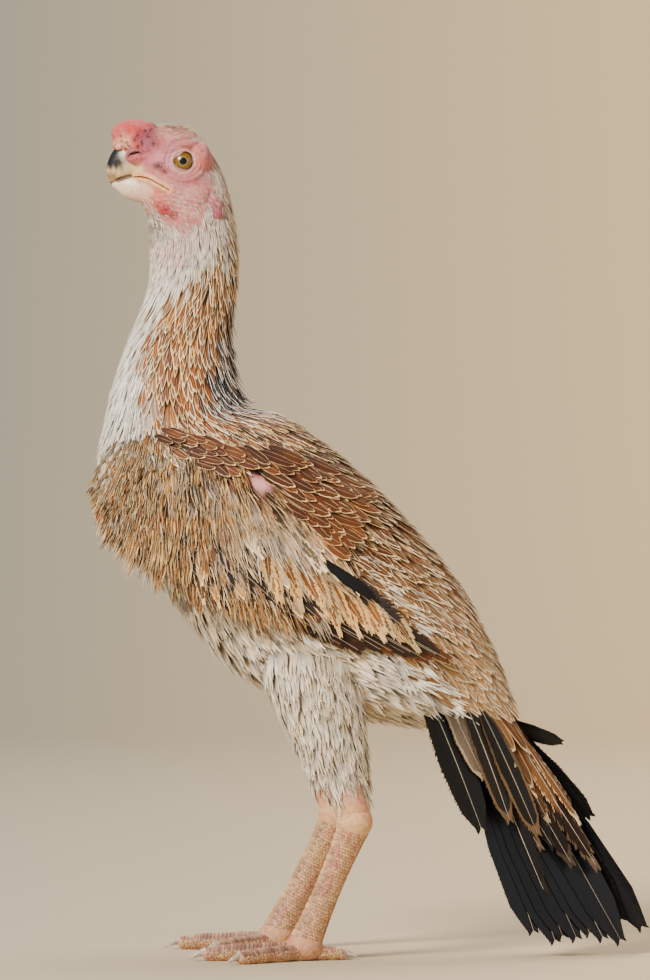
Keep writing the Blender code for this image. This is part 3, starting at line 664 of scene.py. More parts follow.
def lid_shell(side):
    """A pair of lids: a rounded shell over the eyeball with the opening left free."""
    turn = np.radians(np.arange(0, 360, 5))
    inner_edge = np.interp(np.degrees(turn), [a for a, r in LID_OPENING], [r for a, r in LID_OPENING])
    rings = []
    for angle, start in zip(turn, inner_edge):
        section = []
        for reach, lift in ((start + 0.15, -0.7), (start, 0.1), (start + 0.15, 0.75), (start + 0.55, 1),
                (start + 1.1, 0.8), (start + 1.9, 0.4), (7.6, 0.3), (7.6, -1)):
            reach = min(reach, 7.6)
            radius = EYE_RADIUS + lift
            out = math.sqrt(max(radius ** 2 - reach ** 2, 0))
            section.append((EYE_AT[0] + reach * math.cos(angle), side * (EYE_AT[1] + out),
                EYE_AT[2] + reach * math.sin(angle)))
        rings.append(section)
    return grid_object("lids", np.array(rings), line_closed=True)


def make_head():
    last = station(6) + 14
    depth = coat_depth(np.arange(last))
    shell = body_sheet.grid[:last] - body_sheet.normal[:last] * depth[:, None, None]
    base = grid_object("head", shell)
    surface = surface_of(base)
    pieces = [base]

    def add(*given, **more):
        pieces.append(ball(*given, **more))

    for side in (LEFT, RIGHT):
        x, out, z = EYE_AT
        add("brow", (x - 1.5, side * 12.6, z + 8.2), (11.5, 5, 3.4), tilt=14)
        add("temple", (x + 9, side * 13.4, z + 2), (6, 5, 9), tilt=-8)
        pieces.append(lid_shell(side))
        ring = []
        for angle in range(0, 361, 15):
            reach = np.interp(angle, [a for a, r in EYE_RING], [r for a, r in EYE_RING])
            turn = math.radians(angle)
            ring.append(flank(surface, x + reach * math.cos(turn), z + reach * 0.92 * math.sin(turn), side,
                0.9))
        pieces.append(tube("eye_ring", ring, [(1.5, 1.9)] * len(ring), in_gap=2, sides=10))
        for drop, halves in ((1.3, (1.15, 1.3, 1.35, 1.2, 0.8)), (-1.35, (1.3, 1.5, 1.6, 1.35, 0.9))):
            path = [flank(surface, gx, gz + drop, side, 0.5) for gx, gz in MOUTH_LINE[1:]]
            path.append(flank(surface, MOUTH_LINE[-1][0] + 2.2, MOUTH_LINE[-1][1] - 1.4, side, 0.7))
            pieces.append(tube("lip", path, [(h, h) for h in halves]))
        add("cere", (-96, side * 5.8, 446.4), (7.6, 4.4, 5.2), tilt=-12)
        add("cere_top", (-98, side * 4.6, 451.6), (7.6, 4.6, 4.6), tilt=-16)
        add("nostril_flap", (-97.4, side * 9.1, 445.6), (3.4, 1.5, 1.3), tilt=16)
        add("jaw", (-84, side * 9.6, 424.5), (8.5, 5.6, 5.6), tilt=-30)
        add("cheek", (-66, side * 13.4, 424), (11, 5.6, 9), tilt=10)
        lobe = flank(surface, -53, 418, side)
        add("ear_lobe", lobe, (4.6, 2.6, 7.4), tilt=12)
        for x, z, long, high in WATTLE_FOLDS:
            add("wattle", flank(surface, x, z, side), (long, 1.7, high), tilt=-38)
        add("comb_row", (-98, side * 4.2, 457.2), (11.4, 3.9, 8), tilt=-8)
        for k in range(7):
            share = k / 6
            add("pea", (-107.0 + 19.0 * share, side * (5.6 + 1.4 * math.sin(3 * share)), 452.0 + 3.2 * share
                + 1.4 * math.sin(5 * share)), (2.1, 1.7, 1.9))
    add("comb", (-98.5, 0, 458.8), (12.6, 5.2, 9), tilt=-6)
    add("comb_front", (-105.6, 0, 453), (5.6, 4.6, 4.4), tilt=-40)
    add("comb_rear", (-92.4, 0, 460.4), (7.6, 5.4, 6.6), tilt=4)
    head = joined("head", pieces)
    applied(head, "REMESH", mode="VOXEL", voxel_size=HEAD_VOXEL)
    applied(head, "SMOOTH", factor=0.5, iterations=2)
    return head


head = make_head()
print("head", len(head.data.polygons), "faces")

# %% [markdown]
# ### Wrinkles
# The folds round the eye and the creases of the cheek are too fine for the melting step. They are
# waves added along the surface normal, each one faded in only where the bird has it.

# %% Creases, sockets and nostrils


def fade(low, high, values):
    share = np.clip((values - low) / (high - low), 0, 1)
    return share * share * (3 - 2 * share)


def rippled(places, scale, seed):
    """Soft noise from a few crossed waves, about -1 to 1, the same every time."""
    waves = np.random.default_rng(seed)
    total = np.zeros(len(places))
    for k in range(7):
        direction = unit(waves.normal(size=3)) * (2 * np.pi / scale) * waves.uniform(0.7, 1.5)
        total += np.sin(places @ direction + waves.uniform(0, 6.28))
    return total / 3.2


BROW_FOLD = ((-80, 450.6), (-76, 454.4), (-70, 456.6), (-64, 455), (-59.6, 449.6))


def far_from(places, x, z):
    """How far points lie from a spot, seen from the side."""
    return np.hypot(places[:, 0] - x, places[:, 2] - z)


def far_from_line(places, line):
    return np.min([far_from(places, x, z) for x, z in smooth_line(line, 8)], axis=0)


def crease(head):
    places, normals = places_of(head), normals_of(head)
    x, y, z = places.T
    away_x, away_z = x - EYE_AT[0], z - EYE_AT[2]
    far, turn = np.hypot(away_x, away_z), np.arctan2(away_z, away_x)
    on_side = fade(5, 11, np.abs(y))
    rings = np.cos(2 * np.pi * (far + 0.5 * np.sin(3 * turn + np.sign(y))) / 2.3)
    band = fade(6.8, 7.8, far) * (1 - fade(9.5, 13, far))
    lift = 0.22 * rings * band * on_side
    rays = np.cos(turn * 34 + 2.0 * np.sin(turn * 5)) * fade(8, 10, far) * (1 - fade(12, 15, far))
    lift += 0.07 * rays * on_side
    cheek = np.exp(-((x + 68) / 15) ** 2 - ((z - 423) / 9) ** 2) * on_side
    lift += 0.22 * cheek * np.cos(2 * np.pi * (away_z + 0.10 * away_x + 1.1 * np.sin(away_x / 5)) / 2.6)
    comb = fade(451, 456, z) * (1 - fade(-88, -84, x))
    lift += comb * (0.28 * rippled(places, 5, 1) + 0.12 * rippled(places, 2.2, 2))
    for pit in COMB_PITS:
        lift -= 0.9 * np.exp(-(far_from(places, *pit) / 0.75) ** 2) * fade(1.5, 3, np.abs(y))
    lift -= 0.55 * np.exp(-(far_from_line(places, BROW_FOLD) / 0.8) ** 2) * on_side
    lift += 0.06 * rippled(places, 1.6, 3) + 0.07 * rippled(places, 3.6, 4)
    move_to(head, places + normals * lift[:, None])


crease(head)
cutters = []
for side_name, side in SIDES:
    cutters.append(ball("socket", (EYE_AT[0], side * EYE_AT[1], EYE_AT[2]), (EYE_RADIUS + 0.06,) * 3,
        rings=32, sides=48))
    cutters.append(ball("nostril", (-98, side * 9.6, 448.4), (3, 2.6, 0.75), tilt=14))
    surface = surface_of(head)
    slit = [flank(surface, gx, gz, side, 0.4) for gx, gz in MOUTH_LINE]
    cutters.append(tube("mouth", slit, [(0.32, 1.7)] * 4 + [(0.2, 0.8)], sides=10))
boolean(head, "DIFFERENCE", cutters)
print("head with its openings", len(head.data.polygons), "faces")

# %% [markdown]
# ### Legs
# The shank is a straight bone with a slim waist, and each toe has pads at its joints and a rounded
# end for its claw. All are tubes along a line, and points under the floor are lifted onto it.

# %% Shanks and toes
FLOOR_DIP = 0.6
TOES = ((1, 190, 23, 4.3), (2, -36, 42, 5.1), (3, 3, 56, 5.5), (4, 38, 46, 4.9))


def hock_of(side):
    return np.array((HOCK_AT[0] - 0.6 * LEG_FORWARD[side], side * LEG_OUT[side], HOCK_AT[1]))


def ball_of(side):
    return np.array((FOOT_AT[0] - LEG_FORWARD[side], side * LEG_OUT[side], FOOT_AT[1]))


def toe_heading(side, spread):
    turn = math.radians(spread)
    return np.array((-math.cos(turn), side * math.sin(turn), 0))


def shank_line(side, count=60):
    """Places and half sizes down the shank."""
    hock, foot = hock_of(side), ball_of(side)
    share = np.linspace(0, 1, count)
    path = hock + (foot - hock) * share[:, None]
    slim = 7.2 + 1.9 * (2 * share - 1) ** 2
    return path, np.stack([slim, 0.8 * slim], -1)


def toe_line(side, spread, length, thick, count=48):
    """Places and half sizes along a toe, with a swelling under each joint."""
    share = np.linspace(0, 1, count)
    along = 3.0 + (length - 3) * share
    radius = thick * (1 - 0.24 * share) * (1 + 0.06 * np.cos(6 * np.pi * share))
    height = radius - FLOOR_DIP + 0.4 * (1 - np.cos(6 * np.pi * share)) * (share < 0.8)
    radius *= np.sqrt(1 - 0.7 * np.clip((share - 0.86) / 0.14, 0, 1) ** 2)
    foot = ball_of(side)
    path = np.stack([np.full(count, foot[0]), np.full(count, foot[1]), height], -1)
    path += toe_heading(side, spread) * along[:, None]
    return path, np.stack([radius, radius], -1)


def make_legs():
    pieces = []

    def add(*given, **more):
        pieces.append(ball(*given, **more))

    for side in (LEFT, RIGHT):
        path, halves = shank_line(side)
        above = path[0] + np.array((-1, 0, 9))
        path, halves = np.vstack([above, path]), np.vstack([(8.4, 7), halves])
        pieces.append(grid_object("shank", limb_grid(path, halves, 24)))
        hock = hock_of(side)
        add("hock", hock + (-0.5, 0, 1), (10.3, 8.4, 10.6), tilt=-20)
        foot = ball_of(side)
        add("foot", (foot[0], foot[1], 8), (10.2, 8.6, 8.4))
        for digit, spread, length, thick in TOES:
            path, halves = toe_line(side, spread, length, thick)
            path = np.vstack([(foot[0], foot[1], thick + 2), path])
            halves = np.vstack([(thick, thick), halves])
            pieces.append(grid_object("toe", limb_grid(path, halves, 20)))
    legs = joined("legs", pieces)
    applied(legs, "REMESH", mode="VOXEL", voxel_size=LEG_VOXEL)
    applied(legs, "SMOOTH", factor=0.5, iterations=3)
    places, normals = places_of(legs), normals_of(legs)
    places += normals * (0.12 * rippled(places, 3, 7) + 0.06 * rippled(places, 1.7, 8))[:, None]
    places[:, 2] = np.maximum(places[:, 2], 0.02)
    move_to(legs, places)
    return legs


legs = make_legs()
boolean(skin, "UNION", [head, legs])
skin.data.shade_smooth()
print("one skin", len(skin.data.polygons), "faces")
skin_surface = surface_of(skin)

# %% [markdown]
# ### The colours of the skin
# Bare skin is pink where blood shows and yellow where it is horny. The colours are soft spots
# painted by rule on the skin's own points, so they stay with it from any side. Fine mottling is
# left to the material.

# %% Spots of colour
SKIN_SPOTS = (                  # x, z, reach in x, reach in z, strength, colour
    (-66, 425, 20, 14, 0.9, (200, 134, 128)),
    (-92, 446, 13, 9, 0.95, (184, 88, 94)),
    (-97, 460, 15, 9, 1, (186, 54, 44)),
    (-88, 455, 7, 6, 0.9, (128, 50, 52)),
    (-106, 453, 6, 4, 0.8, (222, 168, 140)),
    (-84, 444, 6, 6, 0.8, (200, 118, 128)),
    (-72, 460, 14, 5, 0.8, (206, 126, 108)),
    (-58.5, 444, 4, 12, 0.9, (204, 108, 102)),
    (-66, 433.5, 11, 4, 0.8, (184, 104, 106)),
    (-70.6, 452.5, 7.5, 3.2, 0.7, (160, 88, 88)),
    (-87, 424, 8, 6, 0.9, (212, 116, 96)),
    (-94, 428.5, 6, 8.5, 1, (233, 200, 168)),
    (-96.5, 439, 4.5, 3.6, 0.9, (228, 196, 144)),
    (-95, 413, 9, 9, 0.85, (220, 142, 106)),
    (-84.6, 420.6, 3.6, 2.6, 0.9, (196, 84, 70)),
    (-81, 417, 4.2, 2.6, 1, (160, 40, 38)),
    (-77, 414.2, 4.4, 2, 0.95, (150, 44, 40)),
    (-83, 414.8, 2.6, 1.8, 0.8, (190, 70, 62)),
    (-92, 457, 5.5, 6, 0.75, (142, 62, 82)),
    (-88.6, 461, 3.6, 5, 0.7, (120, 62, 66)),
    (-103.5, 456, 4, 4, 0.6, (236, 176, 140)),
    (-77, 446, 4, 9, 0.55, (190, 122, 146)),
    (-57.2, 447.5, 1.6, 5, 0.6, (152, 128, 142)),
    (-57, 436, 5, 4, 0.6, (164, 146, 152)),
    (-52.3, 418, 5.6, 8.2, 1, (154, 74, 90)),
    (-56, 409, 4, 4, 0.8, (176, 84, 96)),
    # painted shade of the skin fold in front of the eye
    (-84.6, 441, 3.4, 2.4, 1, (86, 30, 26)),
    (-81.2, 437.8, 2.8, 1.8, 0.9, (108, 44, 36)),
    (-90, 450.5, 3, 2.4, 0.5, (150, 60, 78)),
)


def set_attribute(mesh, name, kind, values):
    made = mesh.attributes.new(name, kind, "POINT")
    key = {"FLOAT": "value", "FLOAT_VECTOR": "vector", "FLOAT_COLOR": "color"}[kind]
    made.data.foreach_set(key, np.asarray(values, np.float32).ravel())


def toned(first, second, share):
    """Colours between two, or between lists of them."""
    share = np.asarray(share)[..., None]
    return first * (1 - share) + second * share


def with_alpha(colours):
    return np.concatenate([colours, np.ones((*colours.shape[:-1], 1))], -1)


BARE_SPOT = (-27, 264)      # x and z of the patch that lost its feathers


def skin_colours(places, normals):
    x, y, z = places.T
    out = np.abs(y)
    eye_far, lip_far = far_from(places, EYE_AT[0], EYE_AT[2]), far_from_line(places, MOUTH_LINE)
    head_part = np.tile(rgb(192, 114, 102), (len(places), 1))
    for at_x, at_z, wide, high, strength, shade in SKIN_SPOTS:
        far = ((x - at_x) / wide) ** 2 + ((z - at_z) / high) ** 2
        head_part = toned(head_part, rgb(*shade), strength * np.exp(-far ** 1.5))
    lids = (1 - fade(6.4, 7.4, eye_far)) * (out > 10)
    # painted shade in the crease of the brow fold
    brow_crease_shade = np.exp(-(far_from_line(places, BROW_FOLD) / 1.5) ** 2)
    rim = fade(4, 5.2, eye_far) * (1 - fade(5.9, 6.6, eye_far)) * (out > 10)
    # painted shade: the comb's pits, sunk in crease(), are darkened almost to black
    pits = [(0.9 * np.exp(-(far_from(places, *pit) / 0.8) ** 2), (58, 24, 22)) for pit in COMB_PITS]
    # painted shade inside the nostril slit
    nostril = (1 - fade(0.4, 1.1, far_from_line(places, NOSTRIL_LINE))) * (out > 4)
    lips = (1 - fade(1.9, 3, lip_far)) * (x > -100)
    # painted shade along the groove of the mouth
    slit = (1 - fade(0.25, 0.5, lip_far)) * (x > -103)
    for share, shade in ((0.9 * lids, (216, 170, 160)), (0.6 * brow_crease_shade, (150, 88, 92)),
            (0.6 * rim, (96, 62, 60)), *pits, (0.9 * nostril, (52, 18, 20)), (0.95 * lips, (238, 172, 118)),
            (0.8 * slit, (96, 34, 30))):
        head_part += (rgb(*shade) - head_part) * share[:, None]
    trunk_part = np.tile(rgb(216, 204, 188), (len(places), 1))
    # painted shade: the skin under the back and wing feathers is painted dark brown, so the gaps between
    # feathers read as shadow
    roof = fade(0.15, 0.6, normals @ unit(np.array((0.8, 0, 0.6))))
    under_wing_shade = fade(0.5, 0.8, np.abs(normals[:, 1])) * fade(178, 196, z) * (1 - fade(276, 300, z))
    bare = np.exp(-(((x - BARE_SPOT[0]) / 6.5) ** 2 + ((z - BARE_SPOT[1]) / 5) ** 2) ** 1.5)
    for share, shade in ((under_wing_shade, (104, 68, 38)), (roof, (70, 44, 26)), (bare, (236, 164, 162))):
        trunk_part += (rgb(*shade) - trunk_part) * share[:, None]
    leg_part = np.tile(rgb(226, 182, 128), (len(places), 1))
    pink = fade(-0.2, 0.7, rippled(places, 22, 21))
    for share, shade in ((pink, (216, 136, 114)), (1 - fade(12, 30, z), (198, 138, 104))):
        leg_part += (rgb(*shade) - leg_part) * 0.6 * share[:, None]
    both = toned(trunk_part, head_part, fade(380, 396, z))
    return toned(both, leg_part, 1 - fade(84, 104, z))


skin_places = places_of(skin)
set_attribute(skin.data, "tint", "FLOAT_COLOR", with_alpha(skin_colours(skin_places, normals_of(skin))))
pits = (fade(444, 448, skin_places[:, 2]) * (1 - fade(452.5, 457, skin_places[:, 2]))
    * (1 - fade(-89, -84, skin_places[:, 0])))
set_attribute(skin.data, "speckle", "FLOAT", pits)

# %% [markdown]
# ### A finish for living skin
# Skin is never one colour: fine blood vessels, pores and dry scales break it up, and light goes a
# little way in. Four noises mottle the painted tint, a cell pattern gives pores and tiny scales as
# bump, and a small subsurface share softens the shade.

# %% The skin's material


def skin_finish():
    finish, tree, shader = new_finish("living_skin", 0.56, 0.35)
    shade = attribute(tree, "tint")
    for scale, detail, low, high, most, tone, blend in (
            (420, 5, 0.42, 0.66, 0.35, (0.62, 0.22, 0.20), "MULTIPLY"),     # blood
            (170, 4, 0.48, 0.7, 0.28, rgb(166, 100, 122), "MIX"),        # veins
            (900, 4, 0.55, 0.75, 0.22, rgb(238, 214, 204), "MIX")):      # dry scales
        share = times(tree, ranged(tree, noise(tree, scale, detail), low, high), most)
        shade = mixed(tree, share, shade, tone, blend)
    pore_cells = node(tree, "ShaderNodeTexVoronoi", {"Scale": 1500, "Vector": object_place(tree)})
    pores = ranged(tree, pore_cells.outputs["Distance"], 0, 0.45)
    shade = mixed(tree, maths(tree, "MULTIPLY_ADD", pores, -0.22, 0.22), shade, rgb(150, 84, 78))
    specks = times(tree, attribute(tree, "speckle", "Fac"), ranged(tree, noise(tree, 620), 0.56, 0.62))
    shade = mixed(tree, times(tree, specks, 0.75), shade, rgb(84, 38, 36))
    tree.links.new(shade, shader.inputs["Base Color"])
    shader.inputs["Subsurface Weight"].default_value = 0.12
    shader.inputs["Subsurface Radius"].default_value = (0.004, 0.0015, 0.001)
    shader.inputs["Subsurface Scale"].default_value = 0.6
    bumped(tree, shader, maths(tree, "ADD", times(tree, pores, 0.6), noise(tree, 1100, 4)), 0.55, 0.0004)
    return finish


skin.name = "skin"
worn_by_bird(skin, "face", skin_finish(), "head", "neck", "torso", "comb", "ear_lobe_left",
    "ear_lobe_right", "wattle_left", "wattle_right", "thigh_left", "thigh_right", "shank_left",
    "shank_right", "foot_left", "foot_right")
print("skin painted at", len(skin_places), "points")

# %% [markdown]
# ## Eyes
# The eye keeps its full round ball behind the lids, so its depth is right from every side. The
# iris is amber with a dark rim and a small black pupil. The colour depends only on how far a
# point lies from the eye's axis, which a Mapping node centres on each eye. A clear coat gives the
# wet shine.

# %% Eyeballs


def eye_finish(name, middle):
    finish, tree, shader = new_finish(name, 0.3, 0.25)
    mapping = node(tree, "ShaderNodeMapping",
        {"Vector": object_place(tree), "Location": -Vector(middle) * 1000.0, "Scale": (1000.0,) * 3})
    split = node(tree, "ShaderNodeSeparateXYZ", {0: mapping.outputs["Vector"]})
    x, z = split.outputs["X"], split.outputs["Z"]
    far = maths(tree, "SQRT", maths(tree, "ADD", maths(tree, "POWER", x, 2), maths(tree, "POWER", z, 2)))
    turn = maths(tree, "ARCTAN2", z, x)
    fibres = noise(tree, 2.4, 4, vector_of(tree, times(tree, turn, 5), times(tree, far, 0.35)))
    iris = mixed(tree, ranged(tree, fibres, 0.35, 0.7), rgb(82, 56, 10), rgb(146, 104, 22))
    iris = mixed(tree, ranged(tree, far, 2.3, 3, 0.8, 0), iris, rgb(150, 128, 70))
    iris = mixed(tree, ranged(tree, far, 4.1, 5.4), iris, rgb(58, 34, 12))
    black = ranged(tree, far, 2.05, 2.25, 1, 0)
    tree.links.new(mixed(tree, black, iris, (0.004, 0.004, 0.005)), shader.inputs["Base Color"])
    shader.inputs["Coat Weight"].default_value = 0.45
    shader.inputs["Coat Roughness"].default_value = 0.03
    return finish


for side_name, side in SIDES:
    middle = np.array((EYE_AT[0], side * EYE_AT[1], EYE_AT[2]))
    eye = ball("eyeball_" + side_name, middle, (EYE_RADIUS - 0.05,) * 3, rings=40, sides=64)
    worn_by_bird(eye, "eye", eye_finish("amber_eye_" + side_name, (middle - SHIFT) * MM),
        "eye_" + side_name)
print("eyes", round(2 * EYE_RADIUS, 1), "mm across behind the lids")

# %% [markdown]
# ## The bill
# A short, deep and strongly curved bill with a slate-black front, cream sides and a flesh-coloured
# lower half. Both halves are lofts through the same stations as the solids, with many more rings,
# and the colour is painted on their points.

# %% Upper and lower bill
BILL_UPPER = (
    ((-89.6, 436), (-95.2, 456), 8),
    ((-100.2, 435.8), (-108.6, 452), 6.2),
    ((-107.5, 434), (-114, 441.3), 3.2),
    ((-109.6, 431.8), (-112.6, 434.6), 1.3),
)
BILL_LOWER = (
    ((-89.6, 420), (-85.1, 436), 8.2),
    ((-102.5, 423.6), (-99.5, 437.4), 5.8),
    ((-109.2, 429.2), (-107.6, 434.6), 2.4),
)


# painted shade along the gape, where the two halves of the bill meet
BILL_GAPE_SHADE = rgb(74, 42, 26)


def horn_finish():
    finish, tree, shader = new_finish("bill_horn", 0.36, 0.5)
    tint = attribute(tree, "tint")
    growth = ranged(tree, noise(tree, 500, 4), 0.3, 0.7)
    shade = mixed(tree, times(tree, growth, 0.3), tint, (0.45, 0.36, 0.28), "MULTIPLY")
    tree.links.new(shade, shader.inputs["Base Color"])
    bumped(tree, shader, noise(tree, 800, 5), 0.3, 0.0003)
    return finish


def closed_end(grid, rounds=4):
    """Round the last ring of a loft off into a blunt tip."""
    last = grid[-1]
    middle = last.mean(axis=0)
    ahead = unit(middle - grid[-4].mean(axis=0))
    size = np.linalg.norm(last - middle, axis=-1).mean()
    extra = []
    for k in range(1, rounds + 1):
        turn = math.pi / 2 * k / (rounds + 0.4)
        extra.append(middle + (last - middle) * math.cos(turn) + ahead * size * math.sin(turn))
    return np.concatenate([grid, np.array(extra)])


def make_bill():
    finish = horn_finish()
    upper = closed_end(slices(rows_through(BILL_UPPER, 14), 40))
    x, z = upper[..., 0], upper[..., 2]
    front = (fade(-103, -107.2, x + 0.2 * (z - 446) + 0.5 * np.sin(1.3 * z)) * fade(437, 442.6,
        z + 0.8 * np.sin(1.9 * x)))
    upper_tint = toned(np.tile(rgb(230, 202, 150), (*x.shape, 1)), rgb(30, 28, 33), front)
    grey = np.exp(-((x + 102.6) / 2.8) ** 2 - ((z - 446) / 5) ** 2) * (1 - front) * 0.85
    upper_tint = toned(upper_tint, rgb(124, 122, 140), grey)
    hook = fade(-107.4, -109.4, x) * (1 - fade(436, 440, z))
    upper_tint = toned(upper_tint, rgb(120, 76, 44), 0.8 * hook)
    upper_tint = toned(upper_tint, rgb(190, 144, 84), 0.6 * (1 - fade(434.4, 436.2, z)))
    low = np.interp(x, (-109.6, -107.5, -100.2, -89.6), (431.8, 434, 435.8, 436))
    # painted shade at the gape on the upper half
    upper_tint = toned(upper_tint, BILL_GAPE_SHADE, 0.85 * (1 - fade(0.9, 1.8, z - low)))
    lower = closed_end(slices(rows_through(BILL_LOWER, 14), 40))
    lower_tint = np.tile(rgb(232, 204, 172), (*lower.shape[:2], 1))
    lower_tint = toned(lower_tint, rgb(226, 168, 138), 0.5 * (1 - fade(423, 430, lower[..., 2])))
    high = np.interp(lower[..., 0], (-107.6, -99.5, -85.1), (434.6, 437.4, 436))
    # painted shade at the gape on the lower half
    lower_tint = toned(lower_tint, BILL_GAPE_SHADE, 0.9 * fade(-2.7, -1.7, lower[..., 2] - high))
    for name, grid, tint in (("upper", upper, upper_tint), ("lower", lower, lower_tint)):
        half = grid_object("bill_" + name, grid)
        set_attribute(half.data, "tint", "FLOAT_COLOR", with_alpha(tint.reshape(-1, 3)))
        worn_by_bird(half, "beak", finish, "beak_" + name)


make_bill()
print("bill built in two halves")

# %% [markdown]
# ## A feather that follows its shaft
# Every feather here, from a face bristle to a tail quill, is a thin blade along a line. Geometry
# Nodes do this well: the shafts come in as lines of points, and one tree turns them into curves,
# sweeps a flat lens along them and stores how far along and across each point lies. The blade's
# width and facing are attributes of the shaft's points, so one tree makes every kind. Sizes that
# all blades of a piece share are named inputs.

# %% The feather tree


def feather_tree():
    tree = bpy.data.node_groups.new("feather_on_its_shaft", "GeometryNodeTree")
    for name, kind, value in (("Shafts", "Geometry", None), ("Sides", "Int", 6),
            ("Thickness", "Float", 0.06), ("Camber", "Float", 0.2), ("Finish", "Material", None)):
        socket = tree.interface.new_socket(name, in_out="INPUT", socket_type="NodeSocket" + kind)
        if value is not None:
            socket.default_value = value
    tree.interface.new_socket("Feathers", in_out="OUTPUT", socket_type="NodeSocketGeometry")
    given = node(tree, "NodeGroupInput").outputs

    def named(name, kind="FLOAT"):
        return node(tree, "GeometryNodeInputNamedAttribute", {"Name": name}, data_type=kind).outputs[0]

    def stored(geometry, name, value):
        return node(tree, "GeometryNodeStoreNamedAttribute",
            {"Name": name, "Geometry": geometry, "Value": value}, data_type="FLOAT",
            domain="POINT").outputs[0]

    shafts = node(tree, "GeometryNodeMeshToCurve", {"Mesh": given["Shafts"]})
    turned = node(tree, "GeometryNodeSetCurveNormal", mode="FREE")
    tree.links.new(shafts.outputs[0], turned.inputs["Curve"])
    tree.links.new(named("sideways", "FLOAT_VECTOR"), turned.inputs["Normal"])

    ring = node(tree, "GeometryNodeCurvePrimitiveCircle", {"Radius": 1, "Resolution": given["Sides"]})
    place = node(tree, "GeometryNodeInputPosition").outputs[0]
    split = node(tree, "ShaderNodeSeparateXYZ", {0: place}).outputs
    flat = times(tree, split["Y"], given["Thickness"])
    bend = times(tree, maths(tree, "POWER", split["X"], 2), given["Camber"])
    lens_point = vector_of(tree, split["X"], maths(tree, "SUBTRACT", flat, bend))
    lens = node(tree, "GeometryNodeSetPosition", {
        "Geometry": stored(ring.outputs["Curve"], "across_lens", split["X"]), "Position": lens_point})

    swept = node(tree, "GeometryNodeCurveToMesh", {
        "Fill Caps": True, "Curve": turned.outputs[0], "Profile Curve": lens.outputs[0],
        "Scale": named("half_width")})
    across = maths(tree, "MULTIPLY_ADD", named("across_lens"), named("web_half"), named("web_at"))
    real = node(tree, "GeometryNodeRealizeInstances", {0: stored(swept.outputs[0], "across", across)})
    finished = node(tree, "GeometryNodeSetMaterial",
        {"Geometry": real.outputs[0], "Material": given["Finish"]})
    node(tree, "NodeGroupOutput", {"Feathers": finished.outputs[0]})
    return tree


FEATHER_TREE = feather_tree()


def run_tree(ob, tree, **values):
    """Put a tree on an object, set its inputs by identifier and keep the result as a plain mesh."""
    step = ob.modifiers.new("step", "NODES")
    step.node_group = tree
    for socket in tree.interface.items_tree:
        if socket.in_out == "INPUT" and socket.name in values:
            step[socket.identifier] = values[socket.name]
    kept(ob, step)


# %% [markdown]
# ## A batch of blades
# A batch holds many shafts with the same count of points, as arrays. From whole blades it can
# make locks, a few narrow blades that fan out like a worn feather, and barbs, the fine branches
# on both sides of a quill. Each keeps the colours of the feather it belongs to, and remembers
# where on that feather it lies.

# %% Batches, locks and barbs


def between(low, high, count=None):
    return chance.uniform(low, high, count)


def luck(count, low=0, high=1):
    return between(low, high, count)


def drift(size, count=None):
    return chance.normal(0, size, count)


class Batch:
    """Shafts [n, k, 3], facing normals, half widths [n, k] and what the finish needs to know."""
    FIELDS = ("places", "normals", "half", "pith", "edge", "streak", "root", "along", "web_at", "web_half",
        "shade")

    def __init__(self, places, normals, half, pith, edge, streak, root, along=None, web_at=0, web_half=1,
            shade=None):
        n, k = half.shape
        self.places, self.normals, self.half, self.root = places, normals, half, root
        self.pith, self.edge = (np.broadcast_to(tone, (n, 3)) for tone in (pith, edge))
        self.streak, self.web_half = (np.broadcast_to(share, n).astype(float) for share in (streak,
            web_half))
        self.along = np.tile(np.linspace(0, 1, k), (n, 1)) if along is None else along
        self.web_at = np.broadcast_to(web_at, (n, k))
        self.shade = luck(n) if shade is None else shade

    def sideways(self):
        return unit(np.cross(self.normals, self.ahead()))

    def ahead(self):
        return unit(np.gradient(self.places, axis=1))


def outline(shape, steps):
    """A feather's width along its length: shape lists (share of length, share of half width)."""
    return np.interp(np.linspace(0, 1, steps + 1), [s for s, w in shape], [w for s, w in shape])


def read_between(values, index):
    """Values along each shaft, read at places between its points."""
    low = np.minimum(index.astype(int), values.shape[1] - 2)
    mix = (index - low)[..., None]
    rows = np.arange(len(values)).reshape(-1, *[1] * (index.ndim - 1))
    return values[rows, low] * (1 - mix) + values[rows, low + 1] * mix


def locks_of(batch, count, spread=0.8, ragged=0.18, lift=0.5, fine=1.25, vary=0.12):
    """Split each blade into narrow ones that fan out from the shaft."""
    n, k = batch.half.shape
    share = np.linspace(0, 1, k)
    side, widest = batch.sideways(), batch.half.max(1)[:, None]
    taper = np.interp(share, [0, 0.15, 0.7, 1], [0.5, 1, 0.8, 0.12])
    parts = []
    for i in range(count):
        at = (2 * (i + 0.5) / count - 1) * spread
        fan = at * np.minimum(share * 2.2, 1)
        reach = (1 - ragged * luck(n) - 0.10 * at * at)[:, None]
        offset = (fan[None] + drift(0.16, n)[:, None] * share ** 2) * widest
        places = read_between(batch.places, share[None] * reach * (k - 1)) + side * offset[..., None]
        places = places + batch.normals * (drift(lift, n)[:, None] * share)[..., None]
        parts.append(Batch(places, batch.normals, widest * taper * (fine / count), batch.pith, batch.edge,
            batch.streak, batch.root, batch.along * reach, fan, 1.0 / count,
            np.clip(batch.shade + drift(vary, n), 0, 1)))
    return stacked(parts)


